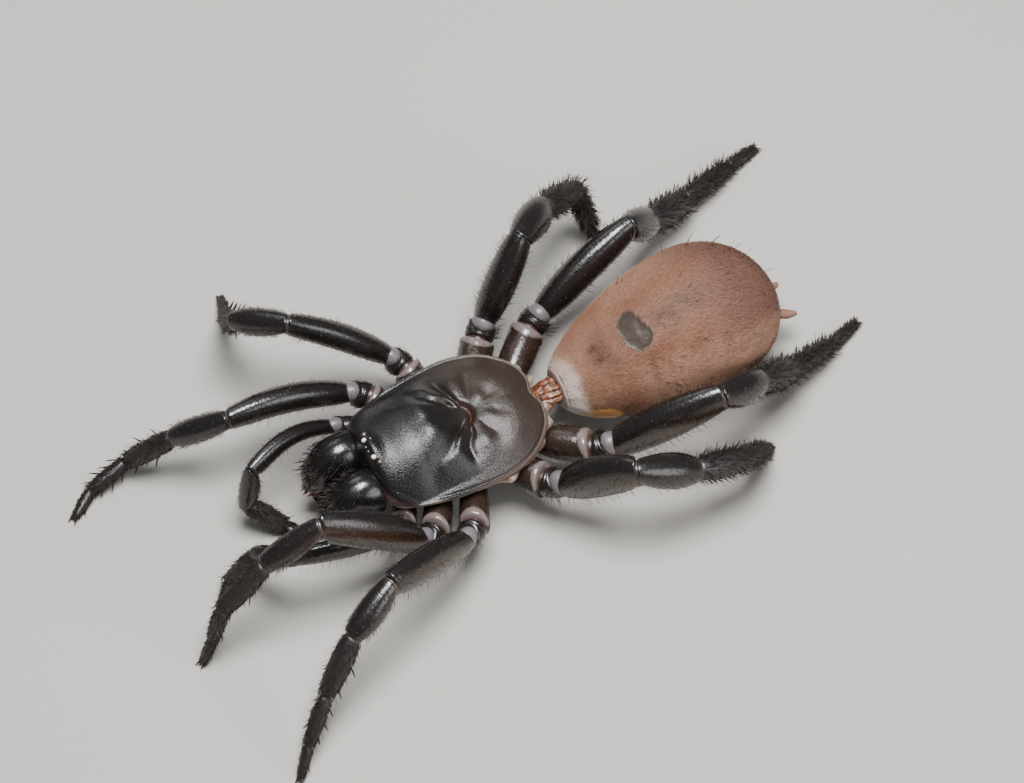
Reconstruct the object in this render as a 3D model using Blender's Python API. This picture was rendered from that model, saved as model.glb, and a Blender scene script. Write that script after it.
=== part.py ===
"""Trapdoor spider in a walking stance, life size, as one closed solid for each named part.

The spider heads along +Y, its right side is at +X, and z = 0 is the floor it stands on.
All sizes below are in millimetres and degrees. add_solid turns them into metres.
"""

import math

import bmesh
import bpy
from mathutils import Matrix, Vector

MM = 0.001
GAP = 0.3                       # clear distance between two neighbouring parts
UP = Vector((0.0, 0.0, 1.0))
SHARP_ANGLE = 50.0              # edges steeper than this are shaded sharp

# Where the middle of the carapace stands in the frame
BODY_X = -1.28
BODY_Y = 2.35

# Carapace: half outline from the rear middle to the front middle, as (half width, y)
CARAPACE_OUTLINE = (
    (0.0, -4.45), (0.9, -4.65), (2.0, -4.3), (3.1, -3.2), (3.65, -1.7), (3.72, -0.4),
    (3.6, 1.2), (3.3, 2.7), (2.85, 4.0), (2.25, 4.68), (1.1, 4.94), (0.0, 5.02),
)
CARAPACE_UNDERSIDE = 4.0        # height of the flat underside
CARAPACE_RIM = 0.25             # thickness of the margin
CARAPACE_RINGS = (1.0, 0.985, 0.96, 0.92, 0.86, 0.76, 0.64, 0.52, 0.41, 0.31, 0.22, 0.14, 0.07)
CARAPACE_OUTLINE_STEPS = 2      # mesh points for each outline point
MARGIN_ROLL = (6, 46)           # how sharply the back turns down to its margin, behind and in front
MARGIN_ROLL_SPAN = (2.2, 4.7)   # where it changes from one to the other
THORAX_RISE = 1.05              # rise of the rear half above the margin
THORAX_REACH = (4.3, 6.5)       # distances from the fovea, sideways and along, where that rise is gone
THORAX_LEAST = 0.1              # least share of that rise
CAPUT_RISE = 1.3                # further rise of the head region
CAPUT_HALF_WIDTH = 2.75
CAPUT_SQUARENESS = 2.6          # 2 is a round crown, more is a flatter one
CAPUT_FRONT_FALL = 0.1          # how much lower the head region is at its front
CAPUT_FALL_SPAN = (2.2, 5.2)
CAPUT_BACK = -0.7               # where the head region begins to rise
CAPUT_FULL = 1.7                # where it has its full height
FOVEA_Y = -1.0                  # the pit on the back
FOVEA_DEPTH = 0.42
FOVEA_RADIUS = 0.55
GROOVE_DEPTH = 0.13             # grooves that fan out from the pit
GROOVE_YAWS = (38.0, 74.0, 108.0, 140.0)
GROOVE_HALF_WIDTH = 9.0
GROOVE_START = (0.5, 1.6)       # distances from the pit where the grooves begin and are full

# Eyes: (half width of the place, y, radius), one on each side
EYE_MOUND = (1.0, 0.45, 0.28)   # half width, half length and rise of the mound
EYE_MOUND_Y = 4.6
EYES = ((0.15, 4.80, 0.11), (0.54, 4.74, 0.17), (0.46, 4.44, 0.11), (0.88, 4.56, 0.16))
EYE_SEGMENTS = 8
EYE_SINK = 0.2                  # share of the radius that the middle of an eye lies below the surface

# Chelicerae: (y, z of the middle, half width, half height) from the base to the tip
CHELICERA_RINGS = (
    (5.34, 4.02, 0.84, 1.32), (5.60, 4.08, 0.92, 1.44), (6.10, 4.04, 0.94, 1.46), (6.60, 3.90, 0.92, 1.44),
    (7.00, 3.72, 0.88, 1.36), (7.28, 3.52, 0.76, 1.18), (7.48, 3.30, 0.52, 0.84),
)
CHELICERA_X = 1.09
CHELICERA_SIDES = 16

# Digging teeth at the front of each chelicera: distances from its middle line, and the row's place
TOOTH_PLACES = (-0.50, -0.22, 0.06, 0.34)
TOOTH_Y = 7.18
TOOTH_Z = 2.72
TOOTH_RADIUS = 0.15
TOOTH_LENGTH = 0.62
TOOTH_SIDES = 6
TOOTH_PITCH = -28.0
TOOTH_TIP_SHARE = 0.3           # the tip's share of the radius
TOOTH_ROW_BOW = 0.3             # how far the row's middle stands forward, as a share of its width
TOOTH_ROW_HALF = 0.4

# Fangs lie folded back below the chelicerae: (y, z, half thickness)
FANG_RINGS = (
    (7.25, 1.72, 0.30), (7.05, 1.38, 0.34), (6.60, 1.22, 0.31), (6.00, 1.20, 0.24),
    (5.40, 1.30, 0.16), (4.95, 1.44, 0.07),
)
FANG_X = 0.95
FANG_SIDES = 10

# Sternum: the core that the legs are set round
STERNUM_Y = -0.35
STERNUM_HALF_LENGTH = 3.55
STERNUM_HALF_WIDTH = 1.62
STERNUM_RINGS = ((1.62, 0.55), (1.72, 0.80), (2.0, 0.97), (2.6, 1.0), (3.3, 0.96), (3.68, 0.84))
STERNUM_SIDES = 24

# Pedicel: (y, z, half width, half height) from the carapace to the abdomen
PEDICEL_RINGS = (
    (-4.25, 3.00, 0.52, 0.50), (-4.55, 3.06, 0.64, 0.55), (-4.80, 3.14, 0.58, 0.50),
    (-5.05, 3.22, 0.68, 0.57), (-5.30, 3.30, 0.62, 0.52), (-5.54, 3.38, 0.66, 0.56),
)
PEDICEL_SIDES = 12

# Abdomen: an egg that is widest behind its middle
ABDOMEN_FRONT_Y = -5.48
ABDOMEN_LENGTH = 12.5
ABDOMEN_HALF_WIDTH = 3.64
ABDOMEN_HALF_HEIGHT = 3.6
ABDOMEN_WIDEST = 0.66           # share of the length
ABDOMEN_FRONT_Z = 3.35          # height of the middle line at the front
ABDOMEN_MIDDLE_Z = 4.55
ABDOMEN_REAR_Z = 3.9
ABDOMEN_DRIFT = -0.06           # sideways shift of the rear end
# The front is cut off flat at the first station, where the pedicel meets it
ABDOMEN_STATIONS = (0.03, 0.06, 0.11, 0.18, 0.27, 0.36, 0.46, 0.56, 0.66, 0.75, 0.83, 0.90, 0.95, 0.98, 0.997)
ABDOMEN_SIDES = 28
ABDOMEN_FRONT_ROUNDNESS = 1.86  # 2 is an ellipse, more is a blunter end
ABDOMEN_REAR_ROUNDNESS = 2.3

# Spinnerets: root, middle joint and tip of the right one, and the half thicknesses there
SPINNERET_POINTS = ((0.60, -17.96, 2.42), (0.85, -18.50, 2.20), (0.97, -19.05, 2.08))
SPINNERET_RADII = (0.36, 0.30, 0.14)
SPINNERET_SIDES = 10

# Limbs: the segments' lengths, from the femur outwards
LEG_LENGTHS = {
    "leg_1": (6.7, 3.3, 3.3, 2.3, 1.6),
    "leg_2": (6.3, 3.0, 3.3, 2.7, 1.7),
    "leg_3": (4.9, 3.3, 3.2, 2.8, 1.8),
    "leg_4": (6.1, 3.1, 3.6, 3.6, 2.0),
    "palp": (5.2, 2.3, 2.5, 1.8),
}
LEG_SEGMENTS = ("femur", "patella", "tibia", "metatarsus", "tarsus")
PALP_SEGMENTS = ("femur", "patella", "tibia", "tarsus")

# Half width of each segment at its base, its swelling and its end
LEG_WIDTHS = {
    "leg_1": {
        "coxa": (0.62, 0.78, 0.72), "trochanter": (0.70, 0.74, 0.62), "femur": (0.58, 0.74, 0.60),
        "patella": (0.60, 0.67, 0.61), "tibia": (0.58, 0.65, 0.52), "metatarsus": (0.46, 0.50, 0.42),
        "tarsus": (0.40, 0.38, 0.28),
    },
    "leg_2": {
        "coxa": (0.64, 0.78, 0.72), "trochanter": (0.70, 0.74, 0.62), "femur": (0.56, 0.72, 0.62),
        "patella": (0.62, 0.72, 0.64), "tibia": (0.60, 0.67, 0.52), "metatarsus": (0.46, 0.50, 0.40),
        "tarsus": (0.38, 0.36, 0.27),
    },
    "leg_3": {
        "coxa": (0.66, 0.90, 0.82), "trochanter": (0.76, 0.80, 0.74), "femur": (0.66, 0.88, 0.74),
        "patella": (0.76, 0.90, 0.78), "tibia": (0.74, 0.82, 0.66), "metatarsus": (0.58, 0.60, 0.46),
        "tarsus": (0.42, 0.42, 0.30),
    },
    "leg_4": {
        "coxa": (0.62, 0.92, 0.86), "trochanter": (0.80, 0.86, 0.78), "femur": (0.68, 0.88, 0.70),
        "patella": (0.76, 0.88, 0.76), "tibia": (0.74, 0.84, 0.68), "metatarsus": (0.58, 0.60, 0.46),
        "tarsus": (0.42, 0.42, 0.30),
    },
    "palp": {
        "coxa": (0.55, 0.66, 0.60), "trochanter": (0.56, 0.56, 0.50), "femur": (0.42, 0.48, 0.44),
        "patella": (0.46, 0.54, 0.50), "tibia": (0.50, 0.60, 0.54), "tarsus": (0.52, 0.50, 0.34),
    },
}
# Depth of each segment as a share of its width
DEPTH_RATIO = {
    "coxa": 1.12, "trochanter": 1.05, "femur": 1.4, "patella": 1.08, "tibia": 1.02,
    "metatarsus": 1.0, "tarsus": 0.95,
}
# Where each segment is widest, as a share of its length
SWELL_PLACE = {
    "coxa": 0.6, "trochanter": 0.4, "femur": 0.48, "patella": 0.62, "tibia": 0.5,
    "metatarsus": 0.4, "tarsus": 0.4,
}
# How far the middle of each femur arches up, and outwards
FEMUR_BOW = {
    "leg_1": (0.35, 0.30), "leg_2": (0.25, 0.15), "leg_3": (0.10, 0.0), "leg_4": (0.15, 0.10),
    "palp": (0.40, 0.50),
}
LIMB_SIDES = 12
LIMB_RINGS = {
    "coxa": 3, "trochanter": 2, "femur": 6, "patella": 4, "tibia": 4, "metatarsus": 3, "tarsus": 3,
}
RING_MARGIN = 0.12              # distance from a slanted joint face to the next ring
LEAST_SLANT = 0.5               # least cosine between a segment and the slanted face at its end
TROCHANTER_LENGTH = 1.0
SOLE_SHARE = 0.72               # height of the tarsus end's middle, as a share of its half depth
STEEPEST_TARSUS = 0.98          # largest sine of the tarsus's pitch
TOE_REACH = 0.12                # how far the blunt end of the foot stands past the tarsus
TOE_SHARE = 0.62                # its half width, as a share of the tarsus's
CLAW_REACH = 0.24               # how far the claws stand past the tarsus
CLAW_DROP = 0.06                # how far they hang below its middle line
CLAW_HALF_WIDTH = 0.11

# Where each coxa starts beside the sternum, on the right side
COXA_ROOTS = {
    "palp": (1.22, 3.20, 2.62), "leg_1": (2.10, 1.70, 2.68), "leg_2": (2.20, -0.08, 2.68),
    "leg_3": (2.10, -1.90, 2.68), "leg_4": (1.50, -3.60, 2.68),
}

# Stance: the hip, and the yaw from the heading and the pitch of each segment.
# A positive yaw turns to the right. Each tarsus finds its own pitch to reach the floor.
STANCE = {
    "palp_right": ((3.45, 4.80, 3.10), (-12, -36, -143, -118), (14, -70, -44, 0)),
    "palp_left": ((-3.25, 5.10, 3.10), (6, 52, 9, -49), (11, -31, -55, 0)),
    "leg_1_right": ((4.65, 3.30, 3.35), (4, 27, 25, -8, -33), (16, -32, -42, -18, 0)),
    "leg_1_left": ((-4.45, 3.85, 3.30), (10, 5, -6, -13, -16), (39, -31, -38, -72, 0)),
    "leg_2_right": ((5.60, 0.60, 3.30), (23, 47, 99, 106, 105), (38, -24, -59, -48, 0)),
    "leg_2_left": ((-5.40, 1.95, 3.30), (-21, -22, -29, -37, -45), (29, -24, -42, -39, 0)),
    "leg_3_right": ((5.20, -4.50, 3.30), (154, 140, 158, 244, 262), (52, -25, -32, -70, 0)),
    "leg_3_left": ((-4.80, -3.60, 3.30), (-136, -169, -180, -215, -217), (39, -24, -23, -50, 0)),
    "leg_4_right": ((4.30, -7.20, 3.25), (168, 152, 154, 160, 164), (22, -45, -32, -13, 0)),
    "leg_4_left": ((-4.00, -6.80, 3.30), (-164, -194, -201, -201, -201), (27, -30, -40, -26, 0)),
}

# Finishes: colour, roughness
FINISHES = {
    "carapace": ((0.030, 0.026, 0.026), 0.22),
    "chelicerae": ((0.016, 0.014, 0.015), 0.20),
    "fangs": ((0.030, 0.008, 0.006), 0.18),
    "legs": ((0.024, 0.019, 0.018), 0.25),
    "leg_hair": ((0.045, 0.032, 0.026), 0.55),
    "coxae": ((0.060, 0.040, 0.034), 0.35),
    "pedicel": ((0.350, 0.180, 0.110), 0.45),
    "abdomen": ((0.270, 0.170, 0.145), 0.70),
}


def clear_scene():
    for old in list(bpy.data.objects):
        bpy.data.objects.remove(old, do_unlink=True)


def finish(slot):
    """The material of a slot, made once."""
    if slot in bpy.data.materials:
        return bpy.data.materials[slot]
    colour, roughness = FINISHES[slot]
    material = bpy.data.materials.new(slot)
    material.use_nodes = True
    shader = material.node_tree.nodes["Principled BSDF"]
    shader.inputs["Base Color"].default_value = (*colour, 1.0)
    shader.inputs["Roughness"].default_value = roughness
    return material


def add_solid(name, rings, slot):
    """Join rings of equally many points into one closed solid, with a flat face at each end."""
    mesh = bmesh.new()
    shift = Vector((BODY_X, BODY_Y, 0.0))
    loops = [[mesh.verts.new((point + shift) * MM) for point in ring] for ring in rings]
    for near, far in zip(loops, loops[1:]):
        for i in range(len(near)):
            j = (i + 1) % len(near)
            mesh.faces.new((near[i], near[j], far[j], far[i]))
    mesh.faces.new(list(reversed(loops[0])))
    mesh.faces.new(loops[-1])
    bmesh.ops.triangulate(mesh, faces=mesh.faces[:])
    bmesh.ops.recalc_face_normals(mesh, faces=mesh.faces[:])
    data = bpy.data.meshes.new(name)
    mesh.to_mesh(data)
    mesh.free()
    data.materials.append(finish(slot))
    data.shade_smooth()
    data.set_sharp_from_angle(angle=math.radians(SHARP_ANGLE))
    solid = bpy.data.objects.new(name, data)
    bpy.context.scene.collection.objects.link(solid)
    return solid


def oval(centre, side, up, half_width, half_height, count):
    """A ring of points with an edge, not a point, at its lowest place."""
    points = []
    for i in range(count):
        angle = 2 * math.pi * (i + 0.5) / count
        points.append(centre + side * half_width * math.cos(angle) + up * half_height * math.sin(angle))
    return points


def smooth(value, low, high):
    """0 below low and 1 above high, with a soft step between."""
    t = min(1.0, max(0.0, (value - low) / (high - low)))
    return t * t * (3 - 2 * t)


def through(points, steps):
    """A smooth open line through the points, with that many steps from one to the next."""
    ends = [2 * points[0] - points[1], *points, 2 * points[-1] - points[-2]]
    line = []
    for a, b, c, d in zip(ends, ends[1:], ends[2:], ends[3:]):
        for i in range(steps):
            t = i / steps
            line.append(0.5 * (2 * b + (c - a) * t + (2 * a - 5 * b + 4 * c - d) * t * t
                               + (3 * b - a - 3 * c + d) * t ** 3))
    return [*line, points[-1]]


def carapace_height(x, y, share):
    """Height of the back at a place that lies at a share of the way from the fovea to the margin."""
    rear_roll, front_roll = MARGIN_ROLL
    inside = 1 - share ** (rear_roll + (front_roll - rear_roll) * smooth(y, *MARGIN_ROLL_SPAN))
    sideways, along = THORAX_REACH
    thorax = THORAX_RISE * max(THORAX_LEAST, 1 - (x / sideways) ** 2 - ((y - FOVEA_Y) / along) ** 2)
    across = max(0.0, 1 - (abs(x) / CAPUT_HALF_WIDTH) ** CAPUT_SQUARENESS)
    forward_fall = CAPUT_FRONT_FALL * smooth(y, *CAPUT_FALL_SPAN)
    caput = (CAPUT_RISE - forward_fall) * across * smooth(y, CAPUT_BACK, CAPUT_FULL)
    mound_x, mound_y, mound_rise = EYE_MOUND
    mound_reach = (x / mound_x) ** 2 + ((y - EYE_MOUND_Y) / mound_y) ** 2
    mound = mound_rise * math.exp(-mound_reach)
    from_pit = math.hypot(x, y - FOVEA_Y)
    pit = FOVEA_DEPTH * math.exp(-(from_pit / FOVEA_RADIUS) ** 2)
    yaw = math.degrees(math.atan2(abs(x), y - FOVEA_Y))
    fan = sum(math.exp(-((yaw - groove) / GROOVE_HALF_WIDTH) ** 2) for groove in GROOVE_YAWS)
    grooves = GROOVE_DEPTH * fan * smooth(from_pit, *GROOVE_START) * (1 - share ** 3)
    return CARAPACE_UNDERSIDE + CARAPACE_RIM + inside * (thorax + caput + mound - grooves) - pit


def add_carapace():
    half = through([Vector((x, y, 0.0)) for x, y in CARAPACE_OUTLINE], CARAPACE_OUTLINE_STEPS)
    outline = half + [Vector((-p.x, p.y, 0.0)) for p in reversed(half[1:-1])]
    fovea = Vector((0.0, FOVEA_Y, 0.0))
    rings = [[Vector((p.x, p.y, CARAPACE_UNDERSIDE)) for p in outline]]
    for share in CARAPACE_RINGS:
        ring = []
        for edge in outline:
            place = fovea + (edge - fovea) * share
            ring.append(Vector((place.x, place.y, carapace_height(place.x, place.y, share))))
        rings.append(ring)
    carapace = add_solid("carapace", rings, "carapace")
    add_eyes(carapace)


def fuse(solid, pieces):
    """Join closed pieces to a solid with one Boolean union."""
    group = bpy.data.collections.new("pieces")
    for mesh in pieces:
        data = bpy.data.meshes.new("piece")
        mesh.to_mesh(data)
        mesh.free()
        group.objects.link(bpy.data.objects.new("piece", data))
    union = solid.modifiers.new("union", "BOOLEAN")
    union.operation = "UNION"
    union.operand_type = "COLLECTION"
    union.collection = group
    evaluated = solid.evaluated_get(bpy.context.evaluated_depsgraph_get())
    joined = bpy.data.meshes.new_from_object(evaluated)
    solid.modifiers.clear()
    solid.data = joined
    for piece in list(group.objects):
        bpy.data.objects.remove(piece, do_unlink=True)
    bpy.data.collections.remove(group)


def in_frame(x, y, z):
    return Vector((BODY_X + x, BODY_Y + y, z)) * MM


def add_eyes(carapace):
    """Eight low domes, fused to the front of the carapace."""
    domes = []
    front_y = CARAPACE_OUTLINE[-1][1]
    for x, y, radius in EYES:
        for side in (-1, 1):
            dome = bmesh.new()
            bmesh.ops.create_uvsphere(
                dome, u_segments=EYE_SEGMENTS, v_segments=EYE_SEGMENTS // 2 + 1, radius=radius * MM
            )
            height = carapace_height(x, y, (y - FOVEA_Y) / (front_y - FOVEA_Y)) - EYE_SINK * radius
            bmesh.ops.translate(dome, verts=dome.verts[:], vec=in_frame(side * x, y, height))
            domes.append(dome)
    fuse(carapace, domes)


def add_teeth(chelicera, side):
    """A row of short digging teeth, rooted in the front of the chelicera."""
    teeth = []
    tilt = Matrix.Rotation(math.radians(TOOTH_PITCH - 90), 4, "X")
    for place in TOOTH_PLACES:
        tooth = bmesh.new()
        bmesh.ops.create_cone(
            tooth, cap_ends=True, segments=TOOTH_SIDES, depth=TOOTH_LENGTH * MM,
            radius1=TOOTH_RADIUS * MM, radius2=TOOTH_TIP_SHARE * TOOTH_RADIUS * MM,
        )
        bmesh.ops.transform(tooth, verts=tooth.verts[:], matrix=tilt)
        forward = TOOTH_ROW_BOW * (TOOTH_ROW_HALF - abs(place))
        centre = in_frame(side * (CHELICERA_X + place), TOOTH_Y + forward, TOOTH_Z)
        bmesh.ops.translate(tooth, verts=tooth.verts[:], vec=centre)
        teeth.append(tooth)
    fuse(chelicera, teeth)


def add_sternum():
    centre = Vector((0.0, STERNUM_Y, 0.0))
    rings = []
    for height, share in STERNUM_RINGS:
        ring_centre = centre + UP * height
        rings.append(oval(ring_centre, Vector((1, 0, 0)), Vector((0, 1, 0)),
                          STERNUM_HALF_WIDTH * share, STERNUM_HALF_LENGTH * share, STERNUM_SIDES))
    add_solid("sternum", rings, "coxae")


def add_mouthparts():
    for word, side in (("left", -1), ("right", 1)):
        rings = []
        for y, z, half_width, half_height in CHELICERA_RINGS:
            centre = Vector((side * CHELICERA_X, y, z))
            rings.append(oval(centre, Vector((1, 0, 0)), UP, half_width, half_height, CHELICERA_SIDES))
        add_teeth(add_solid(f"chelicera_{word}", rings, "chelicerae"), side)
        path = [Vector((side * FANG_X, y, z)) for y, z, _ in FANG_RINGS]
        add_solid(f"fang_{word}", tube(path, [ring[2] for ring in FANG_RINGS], FANG_SIDES), "fangs")


def tube(path, radii, count):
    """Round rings along a bent path, each square to the path there."""
    rings = []
    for i, point in enumerate(path):
        along = (path[min(i + 1, len(path) - 1)] - path[max(i - 1, 0)]).normalized()
        side = along.cross(UP).normalized()
        rings.append(oval(point, side, side.cross(along), radii[i], radii[i], count))
    return rings


def add_pedicel():
    rings = []
    for y, z, half_width, half_height in PEDICEL_RINGS:
        rings.append(oval(Vector((0.0, y, z)), Vector((1, 0, 0)), UP, half_width, half_height, PEDICEL_SIDES))
    add_solid("pedicel", rings, "pedicel")


def abdomen_middle(share):
    """Middle line of the abdomen, from 0 at the front to 1 at the rear."""
    rise = ABDOMEN_FRONT_Z + (ABDOMEN_MIDDLE_Z - ABDOMEN_FRONT_Z) * smooth(share, 0.0, ABDOMEN_WIDEST)
    fall = (ABDOMEN_MIDDLE_Z - ABDOMEN_REAR_Z) * smooth(share, ABDOMEN_WIDEST, 1.0)
    return Vector((ABDOMEN_DRIFT * share, ABDOMEN_FRONT_Y - ABDOMEN_LENGTH * share, rise - fall))


def abdomen_fullness(share):
    """Share of the full width at a place along the abdomen."""
    if share < ABDOMEN_WIDEST:
        off = (ABDOMEN_WIDEST - share) / ABDOMEN_WIDEST
        return math.sqrt(1 - off ** ABDOMEN_FRONT_ROUNDNESS)
    off = (share - ABDOMEN_WIDEST) / (1 - ABDOMEN_WIDEST)
    return math.sqrt(1 - off ** ABDOMEN_REAR_ROUNDNESS)


def add_abdomen():
    rings = []
    for share in ABDOMEN_STATIONS:
        full = abdomen_fullness(share)
        rings.append(oval(abdomen_middle(share), Vector((1, 0, 0)), UP,
                          ABDOMEN_HALF_WIDTH * full, ABDOMEN_HALF_HEIGHT * full, ABDOMEN_SIDES))
    add_solid("abdomen", rings, "abdomen")
    for word, side in (("left", -1), ("right", 1)):
        path = [Vector((side * x + ABDOMEN_DRIFT, y, z)) for x, y, z in SPINNERET_POINTS]
        add_solid(f"spinneret_{word}", tube(path, SPINNERET_RADII, SPINNERET_SIDES), "abdomen")


def direction(yaw, pitch):
    yaw = math.radians(yaw)
    pitch = math.radians(pitch)
    return Vector((math.cos(pitch) * math.sin(yaw), math.cos(pitch) * math.cos(yaw), math.sin(pitch)))


def limb_points(kind, limb):
    """The joints of a limb, from the coxa's root to the tarsus's end."""
    hip, yaws, pitches = STANCE[limb]
    side = 1 if limb.endswith("right") else -1
    root = Vector(COXA_ROOTS[kind])
    root.x *= side
    points = [Vector(hip)]
    widths = LEG_WIDTHS[kind]["tarsus"]
    for length, yaw, pitch in zip(LEG_LENGTHS[kind][:-1], yaws, pitches):
        points.append(points[-1] + length * direction(yaw, pitch))
    length = LEG_LENGTHS[kind][-1]
    sole = SOLE_SHARE * widths[2] * DEPTH_RATIO["tarsus"]
    down = math.degrees(math.asin(min(STEEPEST_TARSUS, (points[-1].z - sole) / length)))
    points.append(points[-1] + length * direction(yaws[-1], -down))
    to_hip = (points[0] - root).normalized()
    trochanter_way = (to_hip + (points[1] - points[0]).normalized()).normalized()
    coxa_end = points[0] - TROCHANTER_LENGTH * trochanter_way
    return [root, coxa_end, *points]


def half_width_at(widths, swell, share):
    base, middle, end = widths
    if share < swell:
        return base + (middle - base) * math.sin(0.5 * math.pi * share / swell)
    return end + (middle - end) * math.cos(0.5 * math.pi * (share - swell) / (1 - swell))


def onto(point, along, plane_point, normal):
    """Slide a point along a direction until it lies on a plane."""
    return point + along * ((plane_point - point).dot(normal) / along.dot(normal))


def add_limb(kind, limb):
    """Lay the limb's segments end to end, with slanted faces that meet across a gap at each bend."""
    points = limb_points(kind, limb)
    segments = ("coxa", "trochanter", *(PALP_SEGMENTS if kind == "palp" else LEG_SEGMENTS))
    ways = [(b - a).normalized() for a, b in zip(points, points[1:])]
    planes = [ways[0], *((a + b).normalized() for a, b in zip(ways, ways[1:])), ways[-1]]
    nodes = limb_nodes(kind)
    side = ways[0].cross(UP).normalized()
    up = side.cross(ways[0])
    for part, members in nodes.items():
        rings = []
        for segment in members:
            i = segments.index(segment)
            if i > 0:
                turn = ways[i - 1].rotation_difference(ways[i])
                side = turn @ side
                up = turn @ up
            first = segment == members[0]
            last = segment == members[-1]
            start_shift = 0.5 * GAP if first and i > 0 else 0.0
            end_shift = 0.5 * GAP if last and i < len(segments) - 1 else 0.0
            rings += segment_rings(
                kind, segment, (points[i], points[i + 1]), (planes[i], planes[i + 1]),
                (start_shift, end_shift), (side, up), first,
            )
        if part == list(nodes)[-1]:
            rings += claw_rings(kind, points[-1], ways[-1], side, up)
            for ring in rings:
                for point in ring:
                    point.z = max(0.0, point.z)
        add_solid(f"{limb}_{part}", rings, limb_slot(part))


def limb_nodes(kind):
    if kind == "palp":
        return {"coxa": ("coxa", "trochanter"), "femur": ("femur",), "patella": ("patella",),
                "tarsus": ("tibia", "tarsus")}
    return {"coxa": ("coxa", "trochanter"), "femur": ("femur",), "patella": ("patella",),
            "tibia": ("tibia",), "foot": ("metatarsus", "tarsus")}


def limb_slot(part):
    if part == "coxa":
        return "coxae"
    return "legs" if part in ("femur", "patella") else "leg_hair"


def segment_rings(kind, segment, ends, normals, shifts, basis, with_start):
    start, end = ends
    side, up = basis
    along = (end - start).normalized()
    length = (end - start).length
    widths = LEG_WIDTHS[kind][segment]
    ratio = DEPTH_RATIO[segment]
    swell = SWELL_PLACE[segment]
    rise, outward = FEMUR_BOW[kind] if segment == "femur" else (0.0, 0.0)
    bow = up * rise + side * (outward if side.x * start.x > 0 else -outward)
    start_plane = start + normals[0] * (shifts[0] / max(LEAST_SLANT, normals[0].dot(along)))
    end_plane = end - normals[1] * (shifts[1] / max(LEAST_SLANT, normals[1].dot(along)))

    def reach(normal, half_width):
        lean = math.acos(min(1.0, normal.dot(along)))
        return half_width * ratio * math.tan(lean) + RING_MARGIN

    def ring_at(share):
        half_width = half_width_at(widths, swell, share)
        centre = start + along * (length * share) + bow * math.sin(math.pi * share)
        return oval(centre, side, up, half_width, half_width * ratio, LIMB_SIDES)

    low = shifts[0] + reach(normals[0], widths[0])
    high = length - shifts[1] - reach(normals[1], widths[2])
    rings = []
    if with_start:
        rings.append([onto(p, along, start_plane, normals[0]) for p in ring_at(0.0)])
    count = LIMB_RINGS[segment]
    for i in range(count):
        rings.append(ring_at((low + (high - low) * i / (count - 1)) / length))
    rings.append([onto(p, along, end_plane, normals[1]) for p in ring_at(1.0)])
    return rings


def claw_rings(kind, end, along, side, up):
    """Close the foot with a short beak for the claws."""
    toe_half_width = TOE_SHARE * LEG_WIDTHS[kind]["tarsus"][2]
    toe = oval(end + along * TOE_REACH, side, up, toe_half_width, toe_half_width, LIMB_SIDES)
    tip = end + along * CLAW_REACH - UP * CLAW_DROP
    beak = oval(tip, side, up, CLAW_HALF_WIDTH, CLAW_HALF_WIDTH, LIMB_SIDES)
    return [toe, beak]


def main():
    clear_scene()
    add_carapace()
    add_sternum()
    add_mouthparts()
    add_pedicel()
    add_abdomen()
    for limb in STANCE:
        add_limb(limb.rsplit("_", 1)[0], limb)


main()
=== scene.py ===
"""A trapdoor spider in a walking stance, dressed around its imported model.

Laid out as a Blender add-on and run as a script: main() registers it and calls its operators in order.
The tables below are in millimetres and degrees, in the spider's own frame: it heads along +Y, its right
side is at +X, and the middle of its back plate stands over x = 0, y = 0. Objects are in metres.
"""

import math
from collections import namedtuple

import bpy
import numpy as np
from bpy.props import FloatProperty, FloatVectorProperty, IntProperty, PointerProperty
from mathutils import Matrix, Vector, noise


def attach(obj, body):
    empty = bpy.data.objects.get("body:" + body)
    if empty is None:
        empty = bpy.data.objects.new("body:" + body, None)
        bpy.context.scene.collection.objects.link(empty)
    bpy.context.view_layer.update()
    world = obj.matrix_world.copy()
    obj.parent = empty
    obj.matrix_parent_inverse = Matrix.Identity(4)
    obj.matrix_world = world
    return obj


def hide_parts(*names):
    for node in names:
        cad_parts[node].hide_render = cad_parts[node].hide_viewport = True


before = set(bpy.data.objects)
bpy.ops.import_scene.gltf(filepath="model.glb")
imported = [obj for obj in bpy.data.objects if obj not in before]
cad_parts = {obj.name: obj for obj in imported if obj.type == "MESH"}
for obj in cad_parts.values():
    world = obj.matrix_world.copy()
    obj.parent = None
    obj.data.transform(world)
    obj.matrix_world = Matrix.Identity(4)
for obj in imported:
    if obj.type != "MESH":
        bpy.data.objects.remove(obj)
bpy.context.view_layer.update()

bl_info = {
    "name": "Trapdoor Spider",
    "version": (1, 0, 0),
    "blender": (4, 5, 0),
    "location": "3D View > Sidebar > Spider",
    "description": "Dresses the solid parts of a trapdoor spider in shell, skin and hair",
    "category": "Object",
}

MM = 0.001
UP = Vector((0.0, 0.0, 1.0))
UP_ARRAY = np.array(UP)
SIDES = (("left", -1), ("right", 1))    # the spider's left side is at -X
HAIR_TAPER = 0.45                       # share of its width that a hair has lost near its tip
HAIR_ROOT = 0.01                        # how far a hair starts below the surface
GOLDEN = 0.618034                       # turns between neighbours, for an even scatter
POLE_TO_Y = (math.pi / 2, 0, 0)         # turns a disc or ball so that it faces along Y
UV_PATCH = 0.003                        # width of one hair on the unwrap
BODY = np.array((-1.28, 2.35, 0.0))     # where the spider's own frame stands in the part's frame
CREATURE = "root"                       # the one body that everything rides on

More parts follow.
